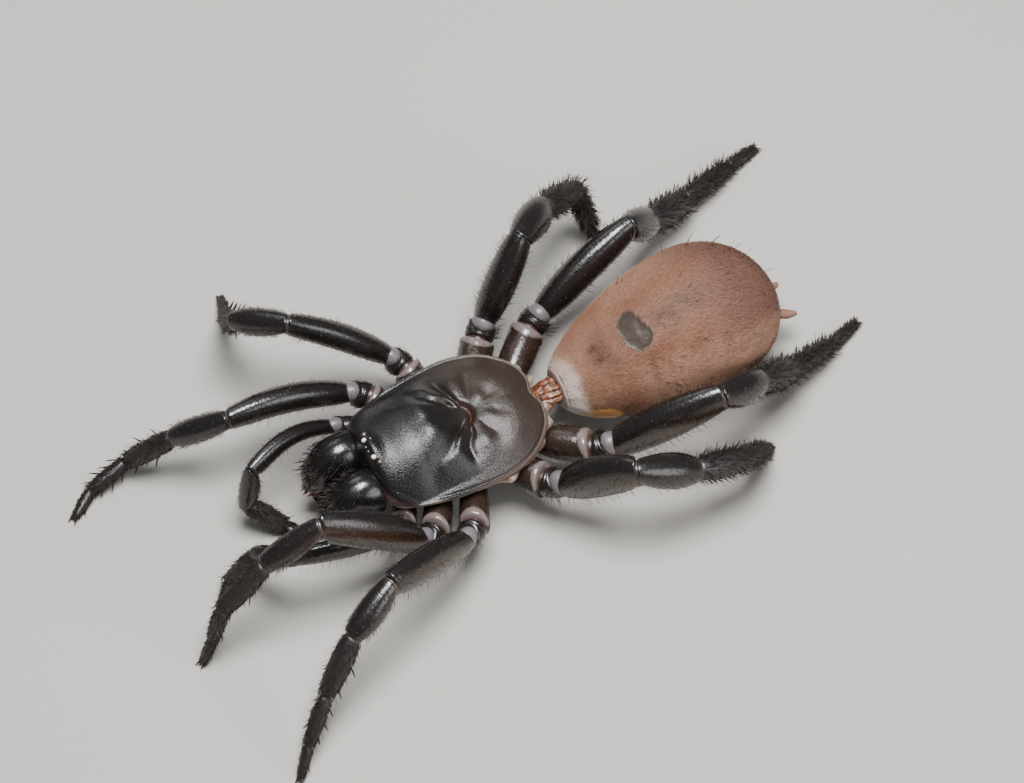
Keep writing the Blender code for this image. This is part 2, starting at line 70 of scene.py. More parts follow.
# Back plate: half outline from the rear middle to the front middle, as (half width, y)
BACK_OUTLINE = (
    (0.0, -4.45), (0.9, -4.65), (2.0, -4.3), (3.1, -3.2), (3.65, -1.7), (3.72, -0.4),
    (3.6, 1.2), (3.3, 2.7), (2.85, 4.0), (2.25, 4.68), (1.1, 4.94), (0.0, 5.02),
)
BACK_UNDERSIDE = 4.0
BACK_RIM = 0.25
BACK_SEGMENTS = 320
BACK_RINGS = 150
MARGIN_ROLL = (6, 46)           # how sharply the back turns down to its margin, behind and in front
MARGIN_ROLL_SPAN = (2.2, 4.7)
THORAX_RISE = 1.05
THORAX_REACH = (4.3, 6.5)
CAPUT_RISE = 1.3
CAPUT_HALF_WIDTH = 3.05
CAPUT_SQUARENESS = 2.4
CAPUT_FRONT_FALL = 0.1
CAPUT_FALL_SPAN = (2.2, 5.2)
CAPUT_SPAN = (-0.7, 1.7)
FOVEA_Y = -1.0
FOVEA_BOW = 0.62                # radius of the curved pit, which opens forwards
# Grooves that fan out from the pit on each side: yaw, half width in degrees, depth and reach
GROOVES = ((38.0, 9.0, 0.32, 4.6), (67.0, 6.5, 0.24, 3.2), (110.0, 10.0, 0.09, 2.6), (158.0, 13.0, 0.08, 2.9))
GROOVE_START = (0.35, 1.3)
GROOVE_WANDER = 7               # degrees that the grooves stray
FOVEA_DEPTH = 0.26
FOVEA_HALF_WIDTH = 0.16
FOVEA_ENDS = (45, 90)           # degrees from the rear between which the curved pit runs out
HOLLOW = (0.10, 0.45)           # depth and half width of the hollow round the pit
MARGIN_RIDGE = (0.985, 0.010, 0.07)     # share of the way out, half width and rise
MARGIN_FURROW = (0.95, 0.014, 0.06)
FRONT_LINE = (20, 9, 0.9)       # pale line at the front margin: yaw, half width and strength
# Low folds between the grooves on each side: x, y, half width, half length and rise
FOLDS = (
    (1.20, 0.20, 0.50, 0.70, 0.20), (2.00, 0.70, 0.50, 0.50, 0.12), (0.62, 0.95, 0.55, 0.75, 0.10),
    (1.85, -0.95, 0.75, 0.50, 0.18), (0.95, -2.75, 0.75, 0.65, 0.13), (2.35, -2.25, 0.70, 0.65, 0.09),
    (0.48, -1.80, 0.40, 0.32, 0.08),
)
# Lobes of soft skin below the margin on each side: yaw from the pit, half width in degrees and reach
SIDE_LOBES = (
    (97.0, 7.0, 0.42), (118.0, 6.0, 0.18), (136.0, 7.0, 0.34), (154.0, 6.0, 0.6), (167.0, 5.0, 0.8),
)
ROLL_RADIUS = 0.1               # of the ring that becomes the soft roll, against the ring's own radius
ROLL_HEIGHT = 3.88

EYE_MOUND = (1.05, 0.50, 0.42)          # half width, half length and rise
EYE_MOUND_Y = 4.42
EYE_SHAPE = (1.0, 1.1, 0.9)
EYE_SINK = 0.2                  # share of its radius that an eye lies deeper
# Eyes on each side: x, y, radius, and the look
EYES = (
    (0.13, 4.62, 0.09, "dark"), (0.52, 4.52, 0.135, "pearl"),
    (0.42, 4.24, 0.08, "dark"), (0.86, 4.36, 0.14, "amber"),
)

# Jaws: (y, z of the middle, half width, half height) from the base to the tip
JAW_RINGS = (
    (4.66, 4.00, 0.96, 1.16), (4.80, 4.02, 1.13, 1.36), (5.10, 4.05, 1.18, 1.44), (5.60, 4.07, 1.18, 1.48),
    (6.10, 4.02, 1.12, 1.46), (6.60, 3.86, 1.03, 1.38), (7.00, 3.67, 0.90, 1.26), (7.30, 3.45, 0.74, 1.07),
    (7.50, 3.27, 0.54, 0.82), (7.60, 3.19, 0.32, 0.50),
)
JAW_X = 1.19
# Fang: (y, z, radius) from the root to the tip
FANG_PATH = (
    (7.25, 1.78, 0.30), (7.10, 1.45, 0.33), (6.75, 1.27, 0.30), (6.30, 1.20, 0.24), (5.85, 1.21, 0.17),
    (5.40, 1.30, 0.11), (4.98, 1.43, 0.04),
)
FANG_X = 0.95
# Soft skin below the back plate's front; its dark colour is partly painted shade
JAW_SKIN_AND_SHADE_MIDDLE = (0.0, 4.78, 3.60)
JAW_SKIN_AND_SHADE_HALF = (2.0, 0.42, 0.92)
TOOTH_ROOT = 0.25
TOOTH_PROFILE = ((0.0, 1.0), (0.35, 0.92), (0.7, 0.68), (0.92, 0.36), (1.0, 0.12))
# Digging teeth on each jaw: side from its middle line, y, z, length, half thickness and pitch
JAW_TEETH = (
    (-0.62, 7.02, 2.62, 0.38, 0.09, -20.0), (-0.44, 7.26, 2.62, 0.42, 0.10, -24.0),
    (-0.20, 7.38, 2.66, 0.46, 0.11, -30.0), (0.06, 7.40, 2.68, 0.44, 0.10, -32.0),
    (0.30, 7.32, 2.68, 0.36, 0.09, -34.0), (-0.56, 7.16, 2.92, 0.32, 0.08, -10.0),
    (-0.32, 7.36, 2.98, 0.34, 0.08, -14.0), (-0.06, 7.44, 3.02, 0.30, 0.08, -16.0),
)

BREAST_MIDDLE = (0.0, -0.35, 2.65)
BREAST_HALF = (1.62, 3.55, 1.03)
BREAST_DIMPLE_X = 0.6           # dimples, in shares of the half sizes
BREAST_DIMPLES_Y = (-0.4, 0.0, 0.4)

# Waist: (y, z of the middle, half width, half height) from the front to the rear
WAIST_RINGS = (
    (-4.0, 3.05, 0.5, 0.44), (-4.35, 3.12, 0.66, 0.56), (-4.75, 3.22, 0.66, 0.58),
    (-5.1, 3.32, 0.74, 0.63), (-5.45, 3.42, 0.72, 0.6), (-5.75, 3.5, 0.78, 0.64),
    (-5.95, 3.55, 0.6, 0.48),
)

ABDOMEN_FRONT_Y = -5.48
ABDOMEN_LENGTH = 12.5
ABDOMEN_HALF_WIDTH = 3.64
ABDOMEN_HALF_HEIGHT = 3.6
ABDOMEN_WIDEST = 0.66
ABDOMEN_HEIGHTS = (3.35, 4.55, 3.9)     # middle line at the front, the widest place and the rear
ABDOMEN_DRIFT = -0.06
ABDOMEN_ROUNDNESS = (1.86, 2.3)
ABDOMEN_NOSE = 0.03             # share of the length where the front is cut off flat for the waist
ABDOMEN_SEGMENTS = 240
ABDOMEN_RINGS = 170
# Marks: shares of the length, and degrees from the top, towards the spider's right
MARK_LINE = (-9.0, -13.0, -13.0)        # middle line at the front, the patch and the rear of the heart mark
SIGILLA = ((0.179, -2.0), (0.189, -19.0))
PATCH = (0.351, -11.5, 0.72, 1.20)      # middle, and half sizes along and across in millimetres
PATCH_LEAN = -4.0
LUNG = (0.150, 106.0)
BEADS = 7                       # small bumps along the patch's rear edge
BEAD_PLACE = 0.398
BEAD_WANDER = 0.004
BEAD_TURNS = (-33.0, 25.0)      # the first, and the span of all
SIGILLA_GIRTH = 2.6             # radius of the abdomen at the dark spots, and at the patch
PATCH_GIRTH = 3.2
BARE, FRONT = 1, 2              # columns of the marks: the patch and the front end
SKIN_DEPTH = 0.03               # how far the skin lies inside the abdomen's outline, below its hair
SWELLS = (0.035, 0.5, 6.0)      # broad unevenness: height, bumps a millimetre, and where its noise starts
SPINNERET_POINTS = ((0.60, -17.80, 2.48), (0.85, -18.50, 2.20), (0.97, -19.05, 2.08))
SPINNERET_RADII = (0.35, 0.29, 0.12)

# Limbs: the segments' lengths, from the femur outwards
LIMB_LENGTHS = {
    "leg_1": (6.7, 3.3, 3.3, 2.3, 1.6), "leg_2": (6.3, 3.0, 3.3, 2.7, 1.7),
    "leg_3": (4.9, 3.3, 3.2, 2.8, 1.8), "leg_4": (6.1, 3.1, 3.6, 3.6, 2.0), "palp": (5.2, 2.3, 2.5, 1.8),
}
LEG_SEGMENTS = ("coxa", "trochanter", "femur", "patella", "tibia", "metatarsus", "tarsus")
PALP_SEGMENTS = ("coxa", "trochanter", "femur", "patella", "tibia", "tarsus")
# Half width of each segment, in the order above, at its base, its swelling and its end
LIMB_WIDTHS = {
    "leg_1": (
        (0.62, 0.78, 0.72), (0.7, 0.74, 0.62), (0.58, 0.74, 0.6), (0.6, 0.67, 0.61), (0.58, 0.65, 0.52),
        (0.46, 0.5, 0.42), (0.4, 0.38, 0.28),
    ),
    "leg_2": (
        (0.64, 0.78, 0.72), (0.7, 0.74, 0.62), (0.56, 0.72, 0.62), (0.62, 0.72, 0.64),
        (0.6, 0.67, 0.52), (0.46, 0.5, 0.4), (0.38, 0.36, 0.27),
    ),
    "leg_3": (
        (0.66, 0.9, 0.82), (0.76, 0.8, 0.74), (0.66, 0.88, 0.74), (0.76, 0.9, 0.78), (0.74, 0.82, 0.66),
        (0.58, 0.6, 0.46), (0.42, 0.42, 0.3),
    ),
    "leg_4": (
        (0.62, 0.92, 0.86), (0.8, 0.86, 0.78), (0.68, 0.88, 0.7), (0.76, 0.88, 0.76),
        (0.74, 0.84, 0.68), (0.58, 0.6, 0.46), (0.42, 0.42, 0.3),
    ),
    "palp": (
        (0.55, 0.66, 0.6), (0.56, 0.56, 0.5), (0.42, 0.48, 0.44), (0.46, 0.54, 0.5), (0.5, 0.6, 0.54),
        (0.52, 0.5, 0.34),
    ),
}
DEPTH_RATIO = {
    "coxa": 1.12, "trochanter": 1.05, "femur": 1.4, "patella": 1.08, "tibia": 1.02, "metatarsus": 1.0,
    "tarsus": 0.95,
}
SWELL_PLACE = {
    "coxa": 0.6, "trochanter": 0.4, "femur": 0.48, "patella": 0.62, "tibia": 0.5, "metatarsus": 0.4,
    "tarsus": 0.4,
}
FEMUR_BOW = {
    "leg_1": (0.35, 0.30), "leg_2": (0.25, 0.15), "leg_3": (0.10, 0.0), "leg_4": (0.15, 0.10),
    "palp": (0.40, 0.50),
}
TROCHANTER_LENGTH = 1.0
SOLE_SHARE = 0.72
COXA_ROOTS = {
    "palp": (1.22, 3.20, 2.62), "leg_1": (2.10, 1.70, 2.68), "leg_2": (2.20, -0.08, 2.68),
    "leg_3": (2.10, -1.90, 2.68), "leg_4": (1.50, -3.60, 2.68),
}
# Stance: the hip, and the yaw from the heading and the pitch of each segment from the femur outwards
STANCE = {
    "palp_right": ((3.45, 4.80, 3.10), (-12, -36, -143, -118), (14, -70, -44, 0)),
    "palp_left": ((-3.25, 5.10, 3.10), (6, 52, 9, -49), (11, -31, -55, 0)),
    "leg_1_right": ((4.65, 3.30, 3.35), (4, 27, 25, -8, -33), (16, -32, -42, -18, 0)),
    "leg_1_left": ((-4.45, 3.85, 3.30), (10, 5, -6, -13, -16), (39, -31, -38, -72, 0)),
    "leg_2_right": ((5.60, 0.60, 3.30), (23, 47, 99, 106, 105), (38, -24, -59, -48, 0)),
    "leg_2_left": ((-5.40, 1.95, 3.30), (-21, -22, -29, -37, -45), (29, -24, -42, -39, 0)),
    "leg_3_right": ((5.20, -4.50, 3.30), (154, 140, 158, 244, 262), (52, -25, -32, -70, 0)),
    "leg_3_left": ((-4.80, -3.60, 3.30), (-136, -169, -180, -215, -217), (39, -24, -23, -50, 0)),
    "leg_4_right": ((4.30, -7.20, 3.25), (168, 152, 154, 160, 164), (22, -45, -32, -13, 0)),
    "leg_4_left": ((-4.00, -6.80, 3.30), (-164, -194, -201, -201, -201), (27, -30, -40, -26, 0)),
}
LEG_NODES = ("coxa", "femur", "patella", "tibia", "foot")
PALP_NODES = ("coxa", "femur", "patella", "tarsus")
FURRY = ("tibia", "metatarsus", "tarsus")
REAR_LEGS = ("leg_3", "leg_4")
# Profile of each kind of segment: share of its length, and its size there against the smooth barrel
BARREL_RINGS = {
    "coxa": (
        (0.0, 0.55), (0.03, 0.78), (0.1, 0.93), (0.3, 1.0), (0.55, 1.0), (0.7, 1.03), (0.79, 1.06),
        (0.84, 1.05), (0.89, 1.1), (0.94, 1.13), (0.985, 1.11), (1.0, 0.94),
    ),
    "trochanter": (
        (0.0, 0.78), (0.05, 0.93), (0.17, 1.01), (0.3, 0.97), (0.38, 1.01), (0.52, 1.02), (0.62, 0.95),
        (0.7, 1.0), (0.86, 1.0), (0.96, 0.95), (1.0, 0.82),
    ),
    "femur": (
        (0.0, 0.72), (0.012, 0.87), (0.05, 0.95), (0.13, 1.0), (0.3, 1.0), (0.5, 1.0), (0.7, 1.0),
        (0.86, 1.0), (0.93, 0.97), (0.955, 0.94), (0.985, 0.95), (1.0, 0.82),
    ),
    "patella": (
        (0.0, 0.74), (0.02, 0.87), (0.06, 0.9), (0.2, 0.97), (0.4, 1.03), (0.65, 1.04), (0.85, 0.98),
        (0.94, 0.91), (0.985, 0.89), (1.0, 0.76),
    ),
    "tibia": (
        (0.0, 0.74), (0.02, 0.88), (0.08, 0.94), (0.25, 1.0), (0.5, 1.02), (0.75, 1.02), (0.92, 0.98),
        (0.98, 0.92), (1.0, 0.8),
    ),
    "metatarsus": (
        (0.0, 0.72), (0.03, 0.88), (0.12, 0.95), (0.35, 1.0), (0.65, 1.0), (0.9, 0.98), (0.98, 0.94),
        (1.0, 0.8),
    ),
    "tarsus": (
        (0.0, 0.72), (0.03, 0.9), (0.12, 0.98), (0.4, 1.0), (0.7, 1.0), (0.9, 0.97), (0.97, 0.86),
        (1.03, 0.62), (1.07, 0.34),
    ),
}
BARREL_SIDES = 18
# How far the ends of the shells are cut back on top and below, at the start and the end, where skin shows
END_CUTS = {
    "coxa": ((0.0, 0.0), (0.05, 0.0)),
    "trochanter": ((0.08, 0.0), (0.3, 0.0)),
    "femur": ((0.36, 0.0), (0.0, 0.4)),
    "patella": ((0.0, 0.22), (0.0, 0.14)),
    "tibia": ((0.0, 0.1), (0.0, 0.04)),
    "metatarsus": ((0.0, 0.04), (0.0, 0.04)),
    "tarsus": ((0.0, 0.0), (0.0, 0.0)),
}
CUT_EDGE = 0.2                  # how far round from the crest a cut reaches: 0 is halfway down the side
SHELL_GAP = 0.015
CLAW_LENGTH = 0.36
CLAW_TAPER = 0.88               # share of its thickness that a claw has lost at its tip
CLAW_HOOK = 0.55                # drop of the tip, as a share of the length
CLAW_SPLAY = 0.35               # outward turn of each claw of a pair
CLAW_GAP = 0.09                 # from the foot's middle to each claw
CLAW_RISE = 0.05
CLAW_CLEARANCE = 0.01           # above the floor
LIP_SHARE = 0.17                # share of the coxa that its pale crescent lip takes up on top
BARE_INSET = 0.2                # share of the hairy shells' inset that the bare ones have
# Soft skin at the root of each segment: its reach along the limb, its fullness, its shift up, and its
# colour from 0 lilac to 1 tan
JOINT_SKIN = {
    "trochanter": (0.42, 0.84, 0.0, 1.0),
    "femur": (0.62, 0.9, 0.05, 0.0),
    "patella": (0.55, 0.84, -0.1, 0.85),
    "tibia": (0.4, 0.84, -0.06, 0.85),
    "metatarsus": (0.34, 0.82, -0.04, 1.0),
    "tarsus": (0.3, 0.82, -0.03, 1.0),
}

HairLayer = namedtuple("HairLayer", "shares middle spread density length width lift pale")
# Layers of hair on each segment: band along it, middle and half spread of the band round it in degrees
# from the top, hairs for each square millimetre, length, half thickness, standing angle, and paleness
FRONT_COAT = {
    "coxa": (((0.1, 0.95), 0, 150, 6, 0.22, 0.012, 40, 0.2),),
    "trochanter": (((0.3, 0.95), 0, 170, 12, 0.28, 0.014, 48, 0.2),),
    "femur": (
        ((0.04, 0.98), 0, 125, 10, 0.20, 0.011, 38, 0.2),
        ((0.06, 0.96), 180, 60, 9, 0.52, 0.012, 68, 0.4),
        ((0.5, 0.98), 0, 100, 6, 0.30, 0.012, 45, 0.2),
    ),
    "patella": (
        ((0.06, 0.98), 0, 180, 9, 0.20, 0.012, 34, 0.2),
        ((0.10, 0.98), 90, 35, 22, 0.28, 0.014, 34, 0.2),
        ((0.10, 0.98), -90, 35, 22, 0.28, 0.014, 34, 0.2),
        ((0.10, 0.98), 180, 60, 20, 0.36, 0.013, 50, 0.2),
    ),
    "tibia": (
        ((0.02, 1.0), 0, 180, 80, 0.26, 0.015, 20, 0.25),
        ((0.05, 1.0), 0, 180, 10, 0.46, 0.015, 48, 0.25),
    ),
    "metatarsus": (
        ((0.02, 1.0), 0, 180, 100, 0.24, 0.015, 22, 0.2),
        ((0.05, 1.0), 0, 180, 14, 0.38, 0.014, 50, 0.2),
    ),
    "tarsus": (
        ((0.02, 1.02), 0, 180, 130, 0.22, 0.014, 28, 0.2),
        ((0.10, 1.02), 180, 80, 110, 0.22, 0.013, 55, 0.3),
    ),
}
REAR_COAT = {
    "coxa": (((0.1, 0.95), 0, 150, 6, 0.24, 0.012, 40, 0.2),),
    "trochanter": (
        ((0.3, 0.95), 0, 170, 12, 0.32, 0.015, 48, 0.2),
        ((0.2, 0.95), 110, 45, 12, 0.60, 0.020, 60, 0.4),
    ),
    "femur": (
        ((0.04, 0.98), 0, 125, 9, 0.28, 0.013, 45, 0.2),
        ((0.06, 0.96), 180, 70, 7, 0.50, 0.013, 65, 0.3),
        ((0.10, 0.98), -90, 30, 6, 0.48, 0.015, 55, 0.2),
    ),
    "patella": (
        ((0.06, 0.98), 0, 180, 5, 0.22, 0.011, 34, 0.05),
        ((0.15, 0.98), 90, 40, 7, 0.40, 0.014, 44, 0.05),
        ((0.15, 0.98), -90, 40, 7, 0.40, 0.014, 44, 0.05),
    ),
    "tibia": (
        ((0.02, 1.0), 0, 180, 34, 0.40, 0.018, 44, 0.3),
        ((0.05, 1.0), 0, 180, 9, 0.60, 0.020, 56, 0.3),
    ),
    "metatarsus": (
        ((0.02, 1.0), 0, 180, 60, 0.40, 0.018, 42, 0.3),
        ((0.05, 1.0), 0, 180, 16, 0.58, 0.020, 56, 0.3),
    ),
    "tarsus": (
        ((0.02, 1.02), 0, 180, 100, 0.34, 0.016, 40, 0.3),
        ((0.10, 1.02), 180, 80, 80, 0.30, 0.014, 55, 0.3),
    ),
}
# How hairs vary: turn sideways and lift in degrees, shares of length and width, curl, and paleness
HAIR_SWIRL = 14
HAIR_LIFT = 7
HAIR_LENGTHS = (0.65, 1.2)
HAIR_WIDTHS = (0.75, 1.15)
HAIR_CURLS = (4, 26)
HAIR_PALENESS = 0.22
# Hairs and spines nearer to the floor than this are left out
ROOT_CLEARANCE = 0.06
TIP_CLEARANCE = 0.03
SPINE_CLEARANCE = 0.05
SPINE_LIFT = 52
SPINE_CURL = 14
SPINE_HALF_WIDTH = 0.042
SPINE_SCALES = {"palp": 0.6, "leg_2": 0.85}
# Spines of the two front pairs of legs: share of the segment, degrees from the top, and length
LEG_SPINES = {
    "tibia": ((0.3, 112, 1.05), (0.6, 106, 1.05), (0.9, 116, 0.85), (0.45, -118, 0.7), (0.86, -112, 0.6)),
    "metatarsus": (
        (0.12, 106, 0.95), (0.34, 110, 0.95), (0.58, 104, 0.9), (0.82, 112, 0.75), (0.2, -112, 0.6),
        (0.5, -116, 0.6), (0.8, -112, 0.5),
    ),
    "tarsus": ((0.3, 112, 0.42), (0.6, -112, 0.34)),
}
REAR_SPINES = {
    "tibia": ((0.4, 95, 0.8), (0.8, -80, 0.8), (0.85, 60, 0.7)),
    "metatarsus": ((0.25, 70, 0.7), (0.55, -75, 0.75), (0.9, 85, 0.6), (0.9, -85, 0.6)),
}
# Erect bristles on the abdomen: share of its length, degrees from the top, and length
ABDOMEN_BRISTLES = (
    (0.599, 9, 0.55), (0.603, -4, 0.55), (0.598, -17, 0.5), (0.77, -5, 0.65), (0.764, -19, 0.55),
    (0.884, -28, 0.45), (0.782, -61, 0.6), (0.748, -92, 0.65), (0.788, 33, 0.95), (0.853, 26, 0.8),
    (0.886, 15, 1.05), (0.901, 4, 0.5), (0.964, 4, 0.75), (0.95, -30, 0.65), (0.94, -56, 0.55),
    (0.8, -95, 0.75), (0.7, 40, 0.8), (0.74, 55, 0.9), (0.83, 48, 0.8), (0.62, 52, 0.6), (0.9, 40, 0.7),
    (0.45, -60, 0.35),
)

AHEAD = 0.004                   # step along the abdomen that gives the way its hair lies
VELVET_HALF_WIDTH = 0.010
VELVET_LIFT = (20, 6)           # degrees above the skin: the middle and the spread
BRISTLE_HALF_WIDTH = 0.014
BRISTLE_LIFTS = (50, 75)
BRISTLE_CURL = 18
JAW_HALF_WIDTH = 0.022
JAW_LIFT = (34, 10)
JAW_CURL = 28
LOOSE_BRISTLES = 70             # more on the abdomen, at random places
MARGIN_BRISTLES = 520
MARGIN_LENGTHS = (0.06, 0.16)
EYE_BRISTLES = 46
EYE_LENGTHS = (0.15, 0.35)
# Bristles on each jaw: middle and spread round it in degrees from the top and outwards, number, length,
# span along y, and paleness
# The paler tones stand partly for painted glints, most in the two long rows at the teeth
JAW_BRISTLES = (
    (-50, 22, 54, 0.48, (5.3, 7.5), 0.12), (0, 40, 30, 0.42, (6.5, 7.5), 0.12),
    (20, 30, 12, 0.24, (5.4, 6.6), 0.1), (170, 40, 60, 0.3, (6.4, 7.4), 0.2),
    (-36, 24, 26, 0.6, (6.9, 7.55), 0.4), (0, 50, 26, 0.62, (6.95, 7.55), 0.4),
    (60, 24, 22, 0.36, (6.2, 7.4), 0.2),
)
# Lights: weight towards the camera, up and across the picture, distance and width
LIGHTS = {
    "key": (0.86, 0.43, 0.04, 170.0, 84.0),
    "fill": (0.62, -0.22, 0.75, 200.0, 130.0),
    "rim": (0.25, 0.90, -0.35, 180.0, 90.0),
}
CAMERA_RIGHT = np.array((-0.4655, -0.885, 0.0))
CAMERA_UP = np.array((0.7664, -0.4031, 0.5))
CAMERA_TARGET = (2.97, 3.955)           # from the frame's middle to the picture's, across and up
PICTURE_WIDTH = 51.2                    # millimetres that the picture spans at the spider
CAMERA_DISTANCE = 250.0
SENSOR_WIDTH = 36.0


def colour(name, description, value):
    return FloatVectorProperty(
        name=name, description=description, subtype="COLOR", size=4, min=0.0, max=1.0, default=(*value, 1.0)
    )


def length(name, description, millimetres):
    return FloatProperty(
        name=name, description=description, unit="LENGTH", subtype="DISTANCE", precision=5,
        min=0.0, default=millimetres * MM,
    )


def power(name, description, watts):
    return FloatProperty(name=name, description=description, unit="POWER", default=watts, min=0.0)


def factor(name, description, value, highest=1.0):
    return FloatProperty(
        name=name, description=description, subtype="FACTOR", min=0.0, max=highest, default=value
    )


class ShellSettings(bpy.types.PropertyGroup):
    black: colour("Black", "Colour of the head region and the jaws", (0.0045, 0.004, 0.0042))
    brown: colour("Brown", "Colour of the rear of the back plate", (0.022, 0.0135, 0.0095))
    rim: colour("Rim", "Colour of the thin margin of the back plate", (0.060, 0.034, 0.024))
    gloss: factor("Roughness", "Roughness of the polished shell", 0.28)
    grain: length("Grain depth", "Depth of the fine grain that breaks up the highlights", 0.026)
    relief: length("Relief", "Height of the small folds on the back plate", 0.022)


class LimbSettings(bpy.types.PropertyGroup):
    black: colour("Black", "Colour of the legs' upper side", (0.0065, 0.005, 0.0048))
    amber: colour("Amber", "Colour that shines through on the underside", (0.032, 0.015, 0.006))
    coxa: colour("Hips", "Colour of the coxae", (0.017, 0.0095, 0.0065))
    lilac: colour("Lilac skin", "Colour of the pale crescents at the hips", (0.110, 0.095, 0.104))
    tan: colour("Tan skin", "Colour of the soft skin at the knees", (0.034, 0.014, 0.009))
    lip: colour("Lips", "Colour of the pale lips at the coxae's ends", (0.125, 0.098, 0.094))
    gloss: factor("Roughness", "Roughness of the legs' shell", 0.26)
    inset: length("Inset", "How far the hairy shells lie inside the solids", 0.12)
    socket: length("Hair sockets", "Depth of the pits that hair grows from", 0.030)


class AbdomenSettings(bpy.types.PropertyGroup):
    mauve: colour("Mauve", "Colour of the upper side", (0.121, 0.054, 0.038))
    rose: colour("Rose", "Colour beside the marks", (0.168, 0.066, 0.037))
    tan: colour("Tan", "Colour of the flanks and the underside", (0.345, 0.192, 0.124))
    smear: colour("Heart mark", "Colour of the dark streak along the middle", (0.042, 0.024, 0.018))
    patch: colour("Bare patch", "Colour of the bare grey patch", (0.036, 0.026, 0.020))
    pale: colour("Front", "Colour of the translucent front end", (0.43, 0.36, 0.325))
    lung: colour("Lung cover", "Colour of the book lung covers", (0.50, 0.20, 0.022))
    waist: colour("Waist", "Colour of the stalk between the two halves", (0.19, 0.070, 0.036))


class HairSettings(bpy.types.PropertyGroup):
    dark: colour("Dark hair", "Colour of the dark hair", (0.007, 0.0055, 0.005))
    pale: colour("Pale hair", "Colour of the pale hair and hair tips", (0.052, 0.035, 0.027))
    tooth: colour("Digging teeth", "Colour of the teeth at the jaws' ends", (0.10, 0.022, 0.010))
    fullness: factor("Fullness", "Number of hairs against the full coat", 1.0, 2.0)
    velvet: IntProperty(name="Velvet", description="Number of hairs on the abdomen", default=56000, min=0)
    velvet_length: length("Velvet length", "Length of the abdomen's short hair", 0.20)
    seed: IntProperty(name="Seed", description="Start of the random draws", default=7, min=0)


class StageSettings(bpy.types.PropertyGroup):
    floor: colour("Floor", "Colour of the floor", (0.335, 0.32, 0.30))
    key: power("Key light", "Power of the main light", 0.84)
    fill: power("Fill light", "Power of the second light", 0.20)
    rim: power("Rim light", "Power of the light from behind", 0.05)
    sky: FloatProperty(name="Sky", description="Strength of the light from all round", default=0.16, min=0.0)


class SpiderSettings(bpy.types.PropertyGroup):
    shell: PointerProperty(type=ShellSettings)
    limbs: PointerProperty(type=LimbSettings)
    abdomen: PointerProperty(type=AbdomenSettings)
    hair: PointerProperty(type=HairSettings)
    stage: PointerProperty(type=StageSettings)


class Value:
    """A shader socket on which Python arithmetic adds Math nodes."""

    def __init__(self, paint, socket):
        self.paint = paint
        self.socket = socket

    def math(self, operation, first, second=0.0, clamp=False):
        return self.paint.node("Math", {"operation": operation, "use_clamp": clamp}, {0: first, 1: second})

    def __add__(self, other):
        return self.math("ADD", self, other)

    def __sub__(self, other):
        return self.math("SUBTRACT", self, other)

    def __rsub__(self, other):
        return self.math("SUBTRACT", other, self)

    def __mul__(self, other):
        return self.math("MULTIPLY", self, other)

    __radd__ = __add__
    __rmul__ = __mul__

    def clamped(self):
        return self.math("ADD", self, 0.0, clamp=True)


class Paint:
    """A material under construction."""

    def __init__(self, name, **constants):
        self.material = bpy.data.materials.new(name)
        self.material.use_nodes = True
        self.tree = self.material.node_tree
        self.shader = self.tree.nodes["Principled BSDF"]
        for socket, value in constants.items():
            self.shader.inputs[socket.replace("_", " ")].default_value = value

    def node(self, kind, settings=None, sockets=None, out=0):
        """Adds a node, sets it up, fills its sockets with values or links, and returns one output."""
        made = self.tree.nodes.new("ShaderNode" + kind)
        for key, value in (settings or {}).items():
            setattr(made, key, value)
        for key, value in (sockets or {}).items():
            if isinstance(value, Value):
                self.tree.links.new(value.socket, made.inputs[key])
            else:
                made.inputs[key].default_value = value
        return Value(self, made.outputs[out])

    def place(self):
        return self.node("TexCoord", out="Object")

    def attribute(self, name, out="Fac"):
        return self.node("Attribute", {"attribute_name": name}, out=out)

    def noise(self, per_mm, detail=2.0, where=None, rough=0.5):
        sockets = {"Vector": where or self.place(), "Scale": per_mm / MM}
        sockets.update({"Detail": detail, "Roughness": rough})
        return self.node("TexNoise", sockets=sockets, out="Fac")

    def spots(self, per_mm):
        """Distance from the nearest of many scattered points."""
        sockets = {"Vector": self.place(), "Scale": per_mm / MM}
        return self.node("TexVoronoi", sockets=sockets, out="Distance")

    def stretched(self, x, y, z):
        """Object coordinates stretched along the axes."""
        return self.node("Mapping", sockets={"Vector": self.place(), "Scale": (x, y, z)})

    def step(self, value, low, high):
        """0 at low and 1 at high, with a soft step between."""
        sockets = {"Value": value, "From Min": low, "From Max": high}
        return self.node("MapRange", {"interpolation_type": "SMOOTHSTEP"}, sockets)

    def mix(self, factor, first, second):
        return self.node("Mix", {"data_type": "RGBA"}, {0: factor, 6: first, 7: second}, out=2)

    def bump(self, height, depth, onto=None):
        sockets = {"Height": height, "Distance": depth, "Strength": 1.0}
        if onto:
            sockets["Normal"] = onto
        return self.node("Bump", sockets=sockets)

    def feed(self, tone, rough, normal=None):
        """Links the surface's colour, roughness and relief, and returns the finished material."""
        for socket, value in (("Base Color", tone), ("Roughness", rough), ("Normal", normal)):
            if value:
                self.tree.links.new(value.socket, self.shader.inputs[socket])
        return self.material


PIT_BROWN = (0.035, 0.010, 0.004, 1.0)
FANG_RED = (0.055, 0.010, 0.006, 1.0)
TOOTH_TIP = (0.20, 0.06, 0.025, 1.0)
SOCKET_TAN = (0.08, 0.036, 0.015, 1.0)
CREASE_BROWN = (0.09, 0.055, 0.05, 1.0)
FOLD_SHADE_BROWN = (0.05, 0.014, 0.006, 1.0)
SIDE_SKIN_AND_SHADE = ((0.12, 0.065, 0.045, 1.0), (0.34, 0.27, 0.22, 1.0))
VELVET_LIGHT = (0.27, 0.16, 0.115, 1.0)
FLOOR_CLOUD = (0.52, 0.49, 0.45, 1.0)
SKY_BLUE = (0.86, 0.93, 1.0, 1.0)


